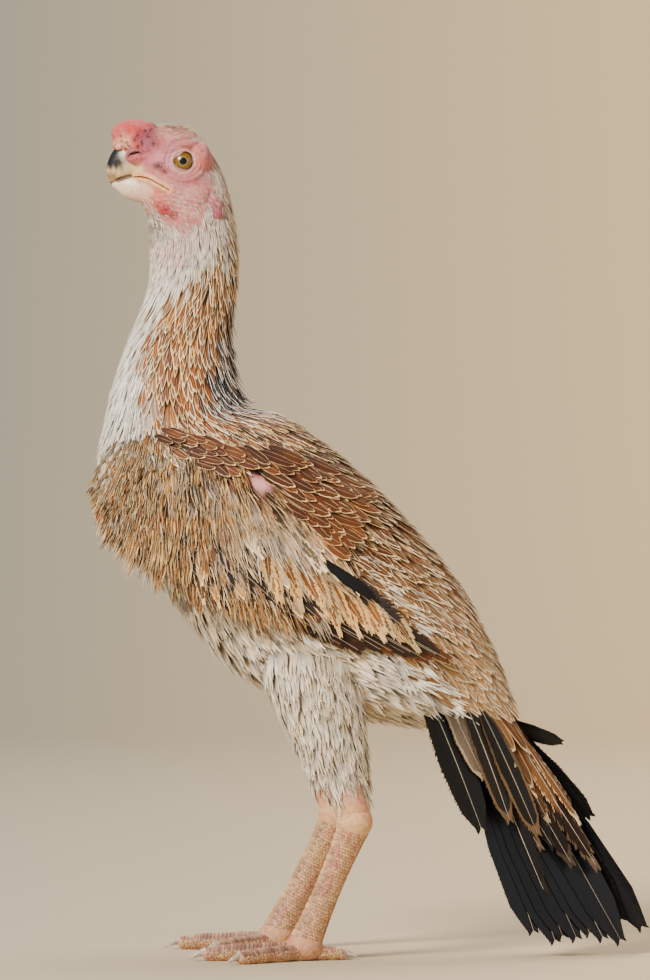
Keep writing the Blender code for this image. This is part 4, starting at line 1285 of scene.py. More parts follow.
def barbs_of(batch, count, slant=0.22, points=4, clump=4, ragged=0.12, fine=0.62, droop=0.12, start=0.08):
    """Branches on both sides of each shaft, leaning towards the tip."""
    n, k = batch.half.shape
    side, ahead = batch.sideways(), batch.ahead()
    even = np.linspace(start, 0.985, count)
    foot = np.clip(even[None] + drift(0.25 / count, (n, count)), 0, 1)[..., None]
    heart = (np.repeat(even[::clump], clump)[:count] + 0.5 * clump / count)[None, :, None]
    gather = between(0, 0.55, (n, count))[..., None] * (heart - foot)
    length = np.linalg.norm(np.diff(batch.places, axis=1), axis=-1).sum(1)[:, None, None]
    way = np.linspace(0, 1, points)
    taper = np.interp(way, [0, 0.7, 1], [1, 0.9, 0.25])
    flat = (n * count, points)
    own = [np.repeat(values, count, axis=0) for values in (batch.pith, batch.edge, batch.streak, batch.root,
        batch.shade)]
    parts = []
    for hand in (-1, 1):
        reach = (1 - ragged * luck((n, count)) ** 2)[..., None]
        at = foot + (slant * (1.05 - 0.5 * foot) + gather * way) * way
        index = np.clip(at, 0, 1) * (k - 1)
        wide = read_between(batch.half[..., None], index)[..., 0]
        outer = np.maximum(wide[..., -1:], 0.25 * batch.half.max(1)[:, None, None]) * reach * way ** 0.85
        normal = read_between(batch.normals, index)
        beyond = np.maximum(at - 1, 0) * length * 0.55
        places = (read_between(batch.places, index) + read_between(ahead, index) * beyond[..., None]
            + read_between(side, index) * (hand * outer)[..., None] - normal * (droop * outer * way)[...,
            None])
        places = places + normal * (drift(0.14, (n, count))[..., None] * way)[..., None]
        half = np.broadcast_to(length / count * fine * taper, wide.shape)
        parts.append(Batch(places.reshape(*flat, 3), normal.reshape(*flat, 3), half.reshape(flat), *own[:4],
            np.clip(at, 0, 1).reshape(flat), np.broadcast_to(hand * way, wide.shape).reshape(flat), 0.08,
            np.clip(own[4] + drift(0.1, n * count), 0, 1)))
    return stacked(parts)


def quills_of(batch, width=0.35, shade=(200, 190, 170)):
    """The shaft itself as a thin round rod."""
    n, k = batch.half.shape
    tone = rgb(*shade)
    lifted = batch.places + batch.normals * 0.12 + batch.normals * 0.3 * (width >= 0.3)
    return Batch(lifted, batch.normals, np.tile(width * np.linspace(1, 0.35, k), (n, 1)), tone, tone, 1,
        batch.root, batch.along, 0, 0, batch.shade)


def narrowed(batch, share):
    """The same shafts with a solid vane of this share of the width, for barbs to stand out from."""
    rest = (getattr(batch, name) for name in Batch.FIELDS[3:])
    return Batch(batch.places - batch.normals * 0.1, batch.normals, batch.half * share, *rest)


def stacked(batches):
    return Batch(*(np.concatenate([getattr(batch, name) for batch in batches]) for name in Batch.FIELDS))


def chosen(batch, keep):
    return Batch(*(getattr(batch, name)[keep] for name in Batch.FIELDS))


BAKE_PATCH = 0.003              # the part of the bake map that one blade takes up
LOCK = (3, 0.2, 0.2)            # sides, thickness and camber of a blade's section
BARB = (3, 0.3, 0)
LACED = (6, 0.05, 0.16)
PER_BLADE = ("pith", "edge", "streak", "shade", "web_half", "root_map")
grown = []


def grow(name, batch, section, finish=None, nodes=()):
    """Turn a batch into one coat piece: sweep it, give it its bake map and put it on the bird."""
    n, k = batch.half.shape
    sides, thickness, camber = section
    mesh = bpy.data.meshes.new(name)
    index = np.arange(n * k).reshape(n, k)
    edges = np.stack([index[:, :-1].ravel(), index[:, 1:].ravel()], 1).astype(np.int32)
    mesh.vertices.add(n * k)
    mesh.vertices.foreach_set("co", ((batch.places.reshape(-1, 3) - SHIFT) * MM).astype(np.float32).ravel())
    mesh.edges.add(len(edges))
    mesh.edges.foreach_set("vertices", edges.ravel())
    root = np.column_stack([batch.root, np.zeros(n)])
    for key, kind, values in (
            ("half_width", "FLOAT", batch.half * MM), ("sideways", "FLOAT_VECTOR", batch.sideways()),
            ("pith", "FLOAT_COLOR", with_alpha(batch.pith)), ("edge", "FLOAT_COLOR", with_alpha(batch.edge)),
            ("streak", "FLOAT", batch.streak), ("shade", "FLOAT", batch.shade),
            ("along", "FLOAT", batch.along), ("web_at", "FLOAT", batch.web_at),
            ("web_half", "FLOAT", batch.web_half),
            ("root_map", "FLOAT_VECTOR", root)):
        set_attribute(mesh, key, kind, np.repeat(values, k, axis=0) if key in PER_BLADE else values)
    ob = shown(name, mesh)
    run_tree(ob, FEATHER_TREE, Sides=sides, Thickness=thickness, Camber=camber,
        Finish=finish or BODY_FINISH)
    mesh = ob.data
    root, across, along = (read_out(mesh.attributes[key].data, socket, size) for key, socket, size in (
        ("root_map", "vector", 3), ("across", "value", 1), ("along", "value", 1)))
    at = np.clip(root[:, :2] + np.column_stack([across * 0.5, along - 0.5]) * BAKE_PATCH, 0, 1)
    corner = np.zeros(len(mesh.loops), np.int32)
    mesh.loops.foreach_get("vertex_index", corner)
    mesh.uv_layers.new(name="OFBake").data.foreach_set("uv", at[corner].astype(np.float32).ravel())
    for spare in ("root_map", "across_lens", "web_at", "web_half", "half_width", "sideways"):
        mesh.attributes.remove(mesh.attributes[spare])
    mesh.shade_smooth()
    mesh.set_sharp_from_angle(angle=math.radians(50))
    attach(ob, "root")
    if nodes:
        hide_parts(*nodes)
    grown.append(sum(len(face.vertices) - 2 for face in mesh.polygons))
    print(f"{name}: {n} blades, {grown[-1]} triangles")


# %% [markdown]
# ## A finish for feathers
# A hen's feather has a dark centre and a pale border, or the other way round. Both are one rule:
# the centre's share of the width decides whether it is a thin streak or a broad field with a
# narrow lace. Fine slanting lines show the barbs, and each feather is a little lighter or darker.

# %% The feather material


def feather_finish(name, roughness=0.62, sheen=0.04, specular=0.2, barb_lines=0.3):
    finish, tree, shader = new_finish(name, roughness, specular)

    def stored(key):
        return attribute(tree, key, "Fac")

    along, across = stored("along"), stored("across")
    aside = maths(tree, "ABSOLUTE", across)
    tip = ranged(tree, along, 0.82, 1)
    squares = maths(tree, "ADD", maths(tree, "POWER", aside, 2), maths(tree, "POWER", tip, 2))
    reach = maths(tree, "SQRT", squares)
    wobble = vector_of(tree, times(tree, along, 5), times(tree, across, 1.5),
        times(tree, stored("shade"), 90))
    blur = maths(tree, "MULTIPLY_ADD", noise(tree, 2, 3, wobble), 0.3, -0.15)
    edge_at = maths(tree, "ADD", stored("streak"), blur)
    inside = ranged(tree, maths(tree, "SUBTRACT", edge_at, reach), -0.05, 0.05)
    deep = times(tree, ranged(tree, aside, 0, 0.8, 0.45, 0), ranged(tree, along, 0.4, 0.9))
    pith = mixed(tree, deep, attribute(tree, "pith"), (0.4, 0.36, 0.34), "MULTIPLY")
    shade = mixed(tree, inside, attribute(tree, "edge"), pith)
    rachis = times(tree, ranged(tree, aside, 0.03, 0.09, 1, 0), 0.45)
    shade = mixed(tree, rachis, shade, attribute(tree, "edge"))
    slanting = maths(tree, "MULTIPLY_ADD", aside, -4, times(tree, along, 26))
    lines = noise(tree, 2.6, 2, vector_of(tree, slanting, times(tree, stored("shade"), 70)))
    dark = times(tree, ranged(tree, lines, 0.42, 0.62), barb_lines)
    shade = mixed(tree, dark, shade, (0.35, 0.30, 0.26), "MULTIPLY")
    level = ranged(tree, stored("shade"), 0, 1, 0.7, 1.2)
    # painted shade: each blade darkens towards its root, where the blades over it would shade it
    level = times(tree, level, ranged(tree, along, 0.05, 0.7, 0.4, 1))
    grey = node(tree, "ShaderNodeCombineColor", {"Red": level, "Green": level, "Blue": level}).outputs[0]
    tree.links.new(mixed(tree, 1, shade, grey, "MULTIPLY"), shader.inputs["Base Color"])
    shader.inputs["Sheen Weight"].default_value = sheen
    shader.inputs["Sheen Roughness"].default_value = 0.5
    bumped(tree, shader, lines, 0.25, 0.0003)
    return finish


BODY_FINISH = feather_finish("body_feather")
BODY_SHAPE = ((0, 0.30), (0.12, 0.75), (0.45, 1), (0.75, 0.92), (0.92, 0.55), (1, 0.12))
HACKLE_BLADE = ((0, 0.45), (0.2, 0.95), (0.55, 1), (0.85, 0.6), (1, 0.08))
DOWN_BLADE = ((0, 0.6), (0.3, 1), (0.7, 0.8), (1, 0.15))
SADDLE_SHAPE = ((0, 0.3), (0.15, 0.8), (0.45, 1), (0.7, 0.86), (0.88, 0.5), (1, 0.08))
QUILL_BLADE = ((0, 0.25), (0.12, 0.7), (0.5, 1), (0.85, 0.85), (1, 0.3))

WHITE = rgb(246, 239, 224)
CREAM = rgb(236, 204, 152)
PALE_GOLD = rgb(222, 170, 96)
GOLD = rgb(172, 106, 38)
ORANGE_BROWN = rgb(142, 70, 18)
RED_BROWN = rgb(82, 38, 11)
MID_BROWN = rgb(116, 64, 22)
DARK_BROWN = rgb(40, 22, 10)
BLACK = rgb(12, 10, 11)
GREY_DOWN = rgb(150, 146, 144)


def roots_on(sheet, first, last, marks, pitches, spacings, v_low, v_high, jitter=0.28):
    """Roots in staggered rows: at the marks, the distance between rows and within them is as given."""
    us, vs = [], []
    u = float(first)
    odd = False
    while u < last:
        line = np.linspace(v_low, v_high, 60)
        places = sheet.place(np.full(60, u), line)
        far = np.concatenate([[0], np.cumsum(np.linalg.norm(np.diff(places, axis=0), axis=-1))])
        gap = np.interp(u, marks, spacings)
        at = np.arange(0.25 * gap + (0.5 * gap if odd else 0), far[-1], gap)
        at = at + drift(jitter * gap, len(at))
        vs.append(np.interp(at, far, line))
        scale = np.linalg.norm(sheet.read(sheet.down, np.full(1, u), np.full(1, (v_low + v_high) / 2)))
        pitch, scale = np.interp(u, marks, pitches), max(scale, 0.05)
        us.append(u + drift(jitter * pitch / scale, len(at)) * 0.7)
        u += pitch / scale
        odd = not odd
    return np.concatenate(us), np.concatenate(vs)


def laid(sheet, u, v, turn, length, half, shape, depth, lift, steps=6, curl=0):
    """Shafts from roots under the sheet up to tips a little over it: places, normals, half widths."""
    places, normals = sheet.walk(u, v, turn, length, steps)
    depth, lift, curl, half = (np.reshape(sizes, (-1, 1)) for sizes in (depth, lift, curl, half))
    share = np.linspace(0, 1, steps + 1)
    rise = -depth * (1 - share) ** 1.3 + lift * share + curl * share ** 3
    places = places + normals * rise[..., None]
    return places, normals, half * outline(shape, steps) * np.ones((len(u), 1))


def body_roots(first, last, marks, *more):
    """Roots on the body, with the ends and the marks given as stations."""
    return roots_on(body_sheet, station(first), station(last), station(np.array(marks)), *more)


def body_map(u, v):
    """Where a root lies on the body unrolled: round the bird and along it."""
    across = np.mod(v / GRID_SIDES + 0.25, 1)
    return np.column_stack([0.01 + 0.98 * across, 0.01 + 0.98 * np.clip(u / len(body_rows), 0, 1)])


def height_share(v):
    """1 on the back or nape, 0 on the flank and -1 on the throat or belly."""
    return np.sin(2 * np.pi * v / GRID_SIDES)


# %% [markdown]
# ## Face feathers
# The face is nearly bare: short hair-like feathers stand behind the comb, down the back of the
# head and under the jaw, and a few fine ones cross the cheek. They are rooted on the skin itself.
# Each root is found by looking at the skin from outside, so bristles follow every fold.

# %% Bristles of the face
BRISTLE_SPOTS = (               # x, z, reach in x, reach in z, share of roots kept, length
    (-77, 464, 13, 7, 1, 6),
    (-85, 462, 3.6, 5, 1, 4.5),
    (-62, 457, 9, 7, 1, 6.5),
    (-51, 441, 5.5, 14, 1, 8),
    (-43, 412, 9, 14, 1, 9),
    (-62, 404, 16, 6.5, 0.95, 7),
    (-64, 420, 15, 10, 0.75, 3.8),
    (-82, 404, 14, 6.5, 1, 6.5),
    (-92, 420, 6, 6, 0.6, 4),
    (-89, 410, 8, 8, 0.8, 6),
    (-74, 428, 6, 5, 0.3, 2.6),
)


def on_skin(places, normals):
    """Points moved onto the skin, which is looked for from outside along each normal."""
    found = np.array(places)
    for index in np.ndindex(places.shape[:-1]):
        outwards = Vector(normals[index])
        hit = skin_surface.ray_cast(Vector(places[index]) + outwards * 16, -outwards, 30)[0]
        found[index] = hit or skin_surface.find_nearest(Vector(places[index]))[0]
    return found


def face_feathers():
    u, v = body_roots(1, 6.4, (0,), (1.3,), (1.05,), 0, GRID_SIDES, 0.5)
    places = body_sheet.place(u, v)
    dense, length = np.full(len(u), 0.04), np.full(len(u), 2.4)
    for x, z, wide, high, share, long in BRISTLE_SPOTS:
        far = ((places[:, 0] - x) / wide) ** 2 + ((places[:, 2] - z) / high) ** 2
        weight = np.exp(-far ** 2)
        length = np.where(share * weight > dense, np.interp(weight, (0, 1), (2.4, long)), length)
        dense = np.maximum(dense, share * weight)
    eye_far = np.hypot(places[:, 0] - EYE_AT[0], places[:, 2] - EYE_AT[2])
    keep = (luck(len(u)) < dense) & (eye_far > 13) & ((places[:, 0] > -88) | (places[:, 2] < 426))
    u, v, length = u[keep], v[keep], length[keep]
    n = len(u)
    crest = fade(0.7, 1, height_share(v)) * (u < station(3.8))
    throat = fade(-0.6, -0.95, height_share(v)) * (u > station(3.6))
    hand = np.where((v > 36) & (v < 108), -1, 1)
    lean = hand * np.where(height_share(v) < 0.6, 0.45, 0) * fade(station(3.5), station(4.5), u)
    places, normals = body_sheet.walk(u, v, lean + drift(0.2, n), length * luck(n, 0.7, 1.25), 3)
    share = np.linspace(0, 1, 4)
    rise = (luck(n, 0.15, 0.7) + crest * luck(n, 0.3, 2) + throat * luck(n, 0.5, 3) + (luck(n) > 0.94))
    places = on_skin(places, normals) + normals * (rise[:, None] * share - 0.25 * (share == 0))[..., None]
    half = np.interp(length, (2.4, 9), (0.10, 0.36))[:, None] * np.array((0.9, 1, 0.8, 0.2))
    tone = toned(WHITE, rgb(206, 170, 130), np.clip(luck(n) ** 2 + 0.5 * crest, 0, 1))
    tone = toned(tone, rgb(110, 96, 88), (luck(n) > 0.9) * (0.4 + 0.5 * crest))
    return Batch(places, normals, half, tone, tone, 0.5, body_map(u, v))


grow("face_bristles", face_feathers(), (3, 0.4, 0))

# %% [markdown]
# ## The neck
# The hackles are narrow blades with an orange-brown streak and cream edges. Only the lower nape is
# black. The throat is white with a flesh-coloured blush, and soft, so it is split into locks. Where
# white stops and hackles begin runs slantwise: high on the nape and low on the front.

# %% Throat and hackles


def neck_roots():
    u, v = body_roots(4.2, 9.9, (5, 9), (2.4, 5.2), (1.5, 2.9), 0, GRID_SIDES)
    keep = u / ROWS_IN_GAP > np.interp(height_share(v), (-1, -0.3, 0.3, 0.8, 1), (5.4, 5.8, 5.3, 4.7, 4.3))
    keep &= u / ROWS_IN_GAP < np.interp(height_share(v), (-1, 0, 0.4), (9.35, 9.45, 9.9))
    return u[keep], v[keep]


def neck_feathers(u, v, steps=6):
    at, up, n = u / ROWS_IN_GAP, height_share(v), len(u)
    places = body_sheet.place(u, v)
    jitter = drift(0.12, n)
    border = np.interp(at, (4.8, 5.2, 5.95, 6.4, 6.7, 7.1, 7.5, 8, 9, 9.9),
        (1.6, 1, 0.55, 0.1, -0.13, -0.6, -0.54, -0.42, -0.34, -0.30))
    dense = luck(n) < np.interp(at, (5.4, 6.2, 7), (0.4, 0.6, 1))
    coloured = fade(-0.10, 0.10, up - border + jitter) * dense
    black = fade(0, 0.2, up + jitter - np.interp(at, (6.6, 7, 8, 9, 9.9), (1.2, 0.8, 0.45, 0.35, 0.7)))
    black *= fade(306, 328, places[:, 2])
    rich = luck(n)
    pith = toned(toned(ORANGE_BROWN, GOLD, 0.5 * (rich > 0.8)), RED_BROWN, rich * (rich < 0.8))
    pith = toned(pith, DARK_BROWN, np.clip(1.2 - 0.9 * (at - 5.6), 0, 0.8))
    pith = toned(pith, BLACK, black * (rich > 0.2))
    fleshy = toned(rgb(226, 190, 172), rgb(242, 234, 220), fade(5.4, 6.4, at + jitter))
    pith = toned(fleshy, pith, coloured)
    blush = np.exp(-((places[:, 0] + 77) / 10) ** 2 - ((places[:, 2] - 400) / 12) ** 2) * (1 - coloured)
    pith = toned(pith, rgb(218, 166, 156), np.clip(1.3 * blush * rich, 0, 1))
    edge = toned(toned(WHITE, CREAM, 0.85 * coloured * (1 - black)), rgb(214, 206, 200), 0.7 * black)
    edge = toned(edge, rgb(226, 186, 176), 0.7 * blush)
    edge = toned(edge, WHITE, fade(0.1, 0.5, up) * (1 - coloured))
    edge = toned(edge, rgb(220, 168, 100), 0.7 * coloured * (luck(n) > 0.6) * (1 - black))
    grey = np.exp(-((places[:, 0] + 92) / 8) ** 2 - ((places[:, 2] - 314) / 20) ** 2)
    pith = toned(pith, GREY_DOWN, np.clip(1.2 * grey * (rich > 0.35), 0, 1))
    streak = np.where(coloured > 0.5, np.interp(at, (5.5, 7, 9), (0.42, 0.6, 0.7)) + 0.1 * black
        + luck(n, -0.12, 0.08), 0.4)
    spread = luck(n, 0.85, 1.15)
    length = np.interp(at, (4.4, 5.2, 6.5, 8, 9.9), (8, 9, 15, 25, 32)) * spread * (1 + 0.3 * black)
    half = np.interp(at, (4.4, 5.2, 6.5, 7.3, 8, 9.9), (0.75, 0.9, 1.35, 1.75, 2.1, 2.4)) * spread * (1
        - 0.1 * black)
    loose = (black > 0.6) & (rich > 0.8) & (at < 8.4) & (up > 0.8)
    lift = np.where(coloured > 0.5, luck(n, 0, 1), luck(n, 0, 0.5))
    walked = laid(body_sheet, u, v, drift(0.09, n), length, half, HACKLE_BLADE, coat_depth(u) + 0.6, lift,
        steps=steps, curl=np.where(loose, luck(n, 1.5, 4), 0))
    shade = np.where(coloured > 0.5, luck(n), luck(n, 0.4, 0.85))
    return Batch(*walked, pith, edge, streak, body_map(u, v), shade=shade), coloured > 0.5


neck, dyed = neck_feathers(*neck_roots())
white_locks = locks_of(chosen(neck, ~dyed), 4, ragged=0.35, lift=0.2, fine=1.3, vary=0.05)
grow("throat_feathers", white_locks, LOCK)
grow("hackles", chosen(neck, dyed), (6, 0.06, 0.25))

# %% [markdown]
# ## Back and breast
# The back is a roof of broad feathers, red-brown at the shoulders and paler towards the tail, each
# with a crisp cream lace. The breast and belly are soft: their feathers are worn into locks, from
# cream on the breast to near white between the legs.

# %% Back, breast and belly


def back_feathers():
    u, v = body_roots(9.1, 14.9, (9, 12, 15), (5, 5.8, 4.8), (3, 4, 3.4), -12, 84)
    at = u / ROWS_IN_GAP
    up = height_share(v)
    keep = up > np.interp(at, (9, 10, 12, 13, 14, 15), (0.25, 0.35, 0.3, -0.15, -0.42, -0.5))
    u, v, at, up = u[keep], v[keep], at[keep], up[keep]
    n = len(u)
    rich = luck(n)
    rear = fade(10.2, 13.6, at + drift(0.4, n))
    pale = toned(toned(MID_BROWN, GOLD, rich), rgb(222, 178, 122), 0.6 * fade(11.5, 13.8, at))
    pith = toned(toned(RED_BROWN, DARK_BROWN, 0.5 * rich), pale, rear)
    cape = (1 - fade(9.4, 10.2, at)) * (rich > 0.4)
    pith = toned(pith, BLACK, 0.45 * cape)
    edge = toned(toned(CREAM, PALE_GOLD, 0.4 * luck(n)), WHITE, 0.1 * cape + 0.4 * rear)
    streak = luck(n, 0.74, 0.9) - 0.2 * rear
    length = np.interp(at, (9, 10, 12, 14, 15), (30, 27, 26, 25, 24)) * luck(n, 0.9, 1.12)
    half = np.interp(at, (9, 10, 12, 14, 15), (1.9, 2.5, 3, 2.5, 2.2)) * luck(n, 0.88,
        1.12) * (1 - 0.3 * cape)
    turn = drift(0.13, n)
    walked = laid(body_sheet, u, v, turn, length, half, SADDLE_SHAPE, coat_depth(u) + 0.6, luck(n, 0, 1.8),
        steps=6)
    return Batch(*walked, pith, edge, streak, body_map(u, v))


def under_wing(places):
    """True where a folded wing hides the body."""
    x, z = places[:, 0] - SHOULDER_AT[0], places[:, 2] - SHOULDER_AT[1]
    along = math.cos(WING_SLOPE) * x - math.sin(WING_SLOPE) * z
    across = math.sin(WING_SLOPE) * x + math.cos(WING_SLOPE) * z
    low = np.interp(along, (0, 50, 95, 128), (4, -12, -4, 10))
    return (along > 36) & (along < 122) & (across > low) & (np.abs(places[:, 1]) > 20)


def breast_feathers():
    u, v = body_roots(9.15, 14.8, (9.5, 11), (3.6, 6.4), (3.4, 5.4), 58, 158)
    at = u / ROWS_IN_GAP
    keep = ~under_wing(body_sheet.place(u, v)) & (height_share(v) < np.interp(at, (12.2, 13, 14),
        (1, 0.1, -0.2)))
    u, v, at = u[keep], v[keep], at[keep]
    n = len(u)
    flank_side = fade(-0.75, -0.1, height_share(v))
    front = 1 - fade(10.4, 11.6, at)
    gold = np.maximum(flank_side * fade(9, 9.6, at), fade(9.5, 9.9, at)) * front
    pith = toned(CREAM, WHITE, luck(n, 0.2, 0.9))
    pith = toned(pith, toned(GOLD, MID_BROWN, luck(n)), np.clip(gold * luck(n, 0.4, 1.2), 0, 1))
    pith = toned(pith, GREY_DOWN, 0.7 * (luck(n) > 0.86))
    edge = toned(WHITE, CREAM, luck(n, 0.1, 0.9))
    rump = fade(12.4, 13.4, at) * fade(-0.7, -0.2, height_share(v))
    pith = toned(pith, WHITE, rump)
    edge = toned(edge, WHITE, rump)
    streak = luck(n, 0.3, 0.6)
    small = np.interp(at, (9.3, 11.2), (0.5, 1))
    length = luck(n, 17, 25) * small
    half = luck(n, 2.8, 4) * small
    turn = drift(0.2, n)
    walked = laid(body_sheet, u, v, turn, length, half, DOWN_BLADE, coat_depth(u) + 0.6,
        luck(n, 0.2, 2.2) * small + 3.2 * rump, steps=4)
    return Batch(*walked, pith, edge, streak, body_map(u, v))


back = back_feathers()
split = back.shade > 0.7
grow("back_feathers", chosen(back, ~split), LACED)
frayed = locks_of(chosen(back, split), 4, spread=0.75, ragged=0.25, vary=0.05)
grow("frayed_back_feathers", frayed, LOCK)
grow("breast_feathers", locks_of(breast_feathers(), 4, ragged=0.4, fine=1.5), LOCK)

# %% [markdown]
# ## The wings
# A folded wing shows rows of coverts over the secondaries, with the primaries tucked under them,
# and the scapulars lie over its upper edge. This hen is in moult, so most coverts are split into
# loose strands, and a few larger ones are torn to single barbs or still whole. Scapulars are whole
# blades with a neat lace. One patch of the left wing is left bare, and the wing's blunt front has
# feathers of its own, rooted on the skin, because the wing's sheet ends before it.

# %% Wing feathers
BARE_AT = (69, 38)
BARE_REACH = 4.4


def wing_map(side, along, across):
    """Left and right wing unrolled side by side."""
    x = np.clip((np.asarray(along) + 20) / 250, 0, 1)
    y = np.clip((np.asarray(across) + 60) / 130, 0, 1) * 0.48 + (0.01 if side == LEFT else 0.51)
    return np.column_stack([0.01 + 0.98 * x, y])


def wing_batch(side, along, across, turn, length, half, shape, depth, lift, pith, edge, streak, steps=4,
        shade=None):
    """Feathers laid over a wing, rooted at places in millimetres along and across it."""
    u, v = np.asarray(along) - WING_LONG[0], np.asarray(across) - WING_HIGH[0]
    walked = laid(wing_sheets[side], u, v, np.radians(turn), length, half, shape, depth, lift, steps)
    return Batch(*walked, pith, edge, streak, wing_map(side, along, across), shade=shade)


def wing_roots(side, first, last, marks, pitches, spacings, v_low, v_high):
    u, v = roots_on(wing_sheets[side], first, last, marks, pitches, spacings, v_low, v_high)
    return u + WING_LONG[0], v + WING_HIGH[0]


def bare_free(batch, side, spare=0.6):
    """Drop feathers that would cover the bare patch of the left wing."""
    if side == RIGHT:
        return batch
    middle = wing_face(np.array(BARE_AT[0]), np.array(BARE_AT[1]), side)
    far = np.linalg.norm(batch.places[..., (0, 2)] - middle[[0, 2]], axis=-1)
    return chosen(batch, far.min(axis=1) > BARE_REACH + spare)


def flight_feathers(side):
    """Primaries and secondaries, from the outermost inwards."""
    rows = []
    for first, last, count, length, half, turns, depth in (
            ((60, -14), (108, 4), 10, (96, 100), 7, (-2, 1), 2.6),
            ((24, -12), (118, 16), 13, (66, 62), 8.2, (-15, -8), 1.6)):
        share = np.linspace(0, 1, count)
        along = first[0] + (last[0] - first[0]) * share + drift(0.8, count)
        across = first[1] + (last[1] - first[1]) * share
        turn = turns[0] + (turns[1] - turns[0]) * share + drift(1.4, count)
        reach = (length[0] + (length[1] - length[0]) * share) * luck(count, 0.94, 1.03)
        dark = toned(rgb(52, 42, 38), DARK_BROWN, luck(count))
        buff = toned(MID_BROWN, dark, luck(count, 0.4, 1))
        rows.append(wing_batch(side, along, across, turn, reach, half, QUILL_BLADE, depth,
            np.linspace(0.2, 1.4, count) - depth * 0.4, dark, buff, luck(count, 0.82, 0.96), steps=10))
    return stacked(rows)


def worn_edge(side):
    """Short worn secondaries that hang below the wing's edge."""
    n = 22
    share = np.linspace(0, 1, n)
    return wing_batch(side, 84.0 + 80.0 * share + drift(1.5, n), 10.0 + 4.0 * share + drift(1.5, n),
        -42.0 + 20.0 * share + drift(5, n), luck(n, 24, 34), 4.6, SADDLE_SHAPE, 1, luck(n, 1.4, 2.6),
        toned(GOLD, MID_BROWN, luck(n)), toned(CREAM, PALE_GOLD, luck(n)), luck(n, 0.3, 0.6))


def coverts(side):
    """Small feathers in front, larger ones behind, worn pale where they rub."""
    along, across = wing_roots(side, 2, 142, (12, 60, 120), (3.4, 4.5, 5.6), (3, 3.9, 4.8), 28, 106)
    marks = (-12, 8, 50, 95, 128)
    keep = ((across > np.interp(along, marks, (-12, -30, -34, -22, -6)))
        & (across < np.interp(along, marks, (20, 38, 44, 40, 28))))
    along, across = along[keep], across[keep]
    n = len(along)
    turn = (np.interp(along, (-10, 12, 40, 70, 100, 130), (-80, -66, -56, -42, -34, -24))
        + np.interp(across, (-30, 10, 45), (-6, 0, 14)) + drift(8, n))
    marks = (-10, 15, 45, 120)
    length = np.interp(along, marks, (8.5, 12, 18, 28)) * luck(n, 0.85, 1.15)
    half = np.interp(along, marks, (1.5, 2.1, 2.9, 4.1)) * luck(n, 0.85, 1.15)
    rich = luck(n)
    face = wing_face(along, across, side)
    worn = 0.95 * np.exp(-((along - 90) / 24) ** 2 - ((across - 13) / 15) ** 2)
    pale = np.clip(0.06 + worn + 0.35 * rippled(face, 26, 31) + drift(0.22, n), 0, 1)
    pith = toned(toned(GOLD, MID_BROWN, rich), PALE_GOLD, pale)
    pith = toned(pith, toned(CREAM, WHITE, 0.5), 0.85 * worn)
    fluffy = rippled(face, 30, 32) > 0.4
    downy = np.exp(-((along - 44) / 30) ** 2 - ((across - 24) / 9) ** 2) + 0.5 * fluffy
    pith = toned(pith, GREY_DOWN, 0.7 * (luck(n) < 0.6 * downy))
    pith = toned(pith, DARK_BROWN, 0.8 * (luck(n) < 0.2 + 0.25 * (along < 40) - 0.15 * worn))
    edge = toned(toned(CREAM, PALE_GOLD, luck(n, 0, 0.7)), WHITE, 0.9 * worn)
    lift = luck(n, 0.3, 1) * (0.6 + along / 100)
    return wing_batch(side, along, across, turn, length, half, SADDLE_SHAPE, 2, lift, pith, edge,
        luck(n, 0.45, 0.78))


def lone_feather(side):
    """One smooth black feather that shows between coverts and back."""
    return wing_batch(side, [117], [18], -6, 38, 3.4, QUILL_BLADE, 0.2, 3.4, BLACK, BLACK, 0.9, steps=6,
        shade=np.array([0.5]))


def scapulars(side):
    along, across = wing_roots(side, 20, 128, (20, 60), (4.4, 6), (3.2, 4.4), 84, 122)
    low = np.interp(along, (5, 30, 60, 100, 120), (32, 34, 34, 30, 26)) + drift(2, len(along))
    keep = (across > low) & (across < np.interp(along, (5, 27, 48, 77), (39, 44, 51, 66)))
    along, across = along[keep], across[keep]
    n = len(along)
    rich = luck(n)
    browner = np.maximum(0.8 * fade(70, 120, along), 0.5 * (rich < 0.35))
    pith = toned(toned(RED_BROWN, DARK_BROWN, 0.3 * (rich > 0.6)), MID_BROWN, browner)
    edge = toned(CREAM, rgb(196, 142, 86), luck(n, 0.2, 1))
    size = np.interp(along, (8, 40, 100), (0.6, 0.85, 1))
    made = wing_batch(side, along, across, np.interp(along, (8, 120), (4, -8)) + drift(6, n),
        luck(n, 20, 26) * size, luck(n, 3.2, 4.1) * size, BODY_SHAPE, 1.2, luck(n, 1.2, 2.8), pith, edge,
        luck(n, 0.85, 0.92), steps=6)
    return stacked([made, lone_feather(side)]) if side == LEFT else made


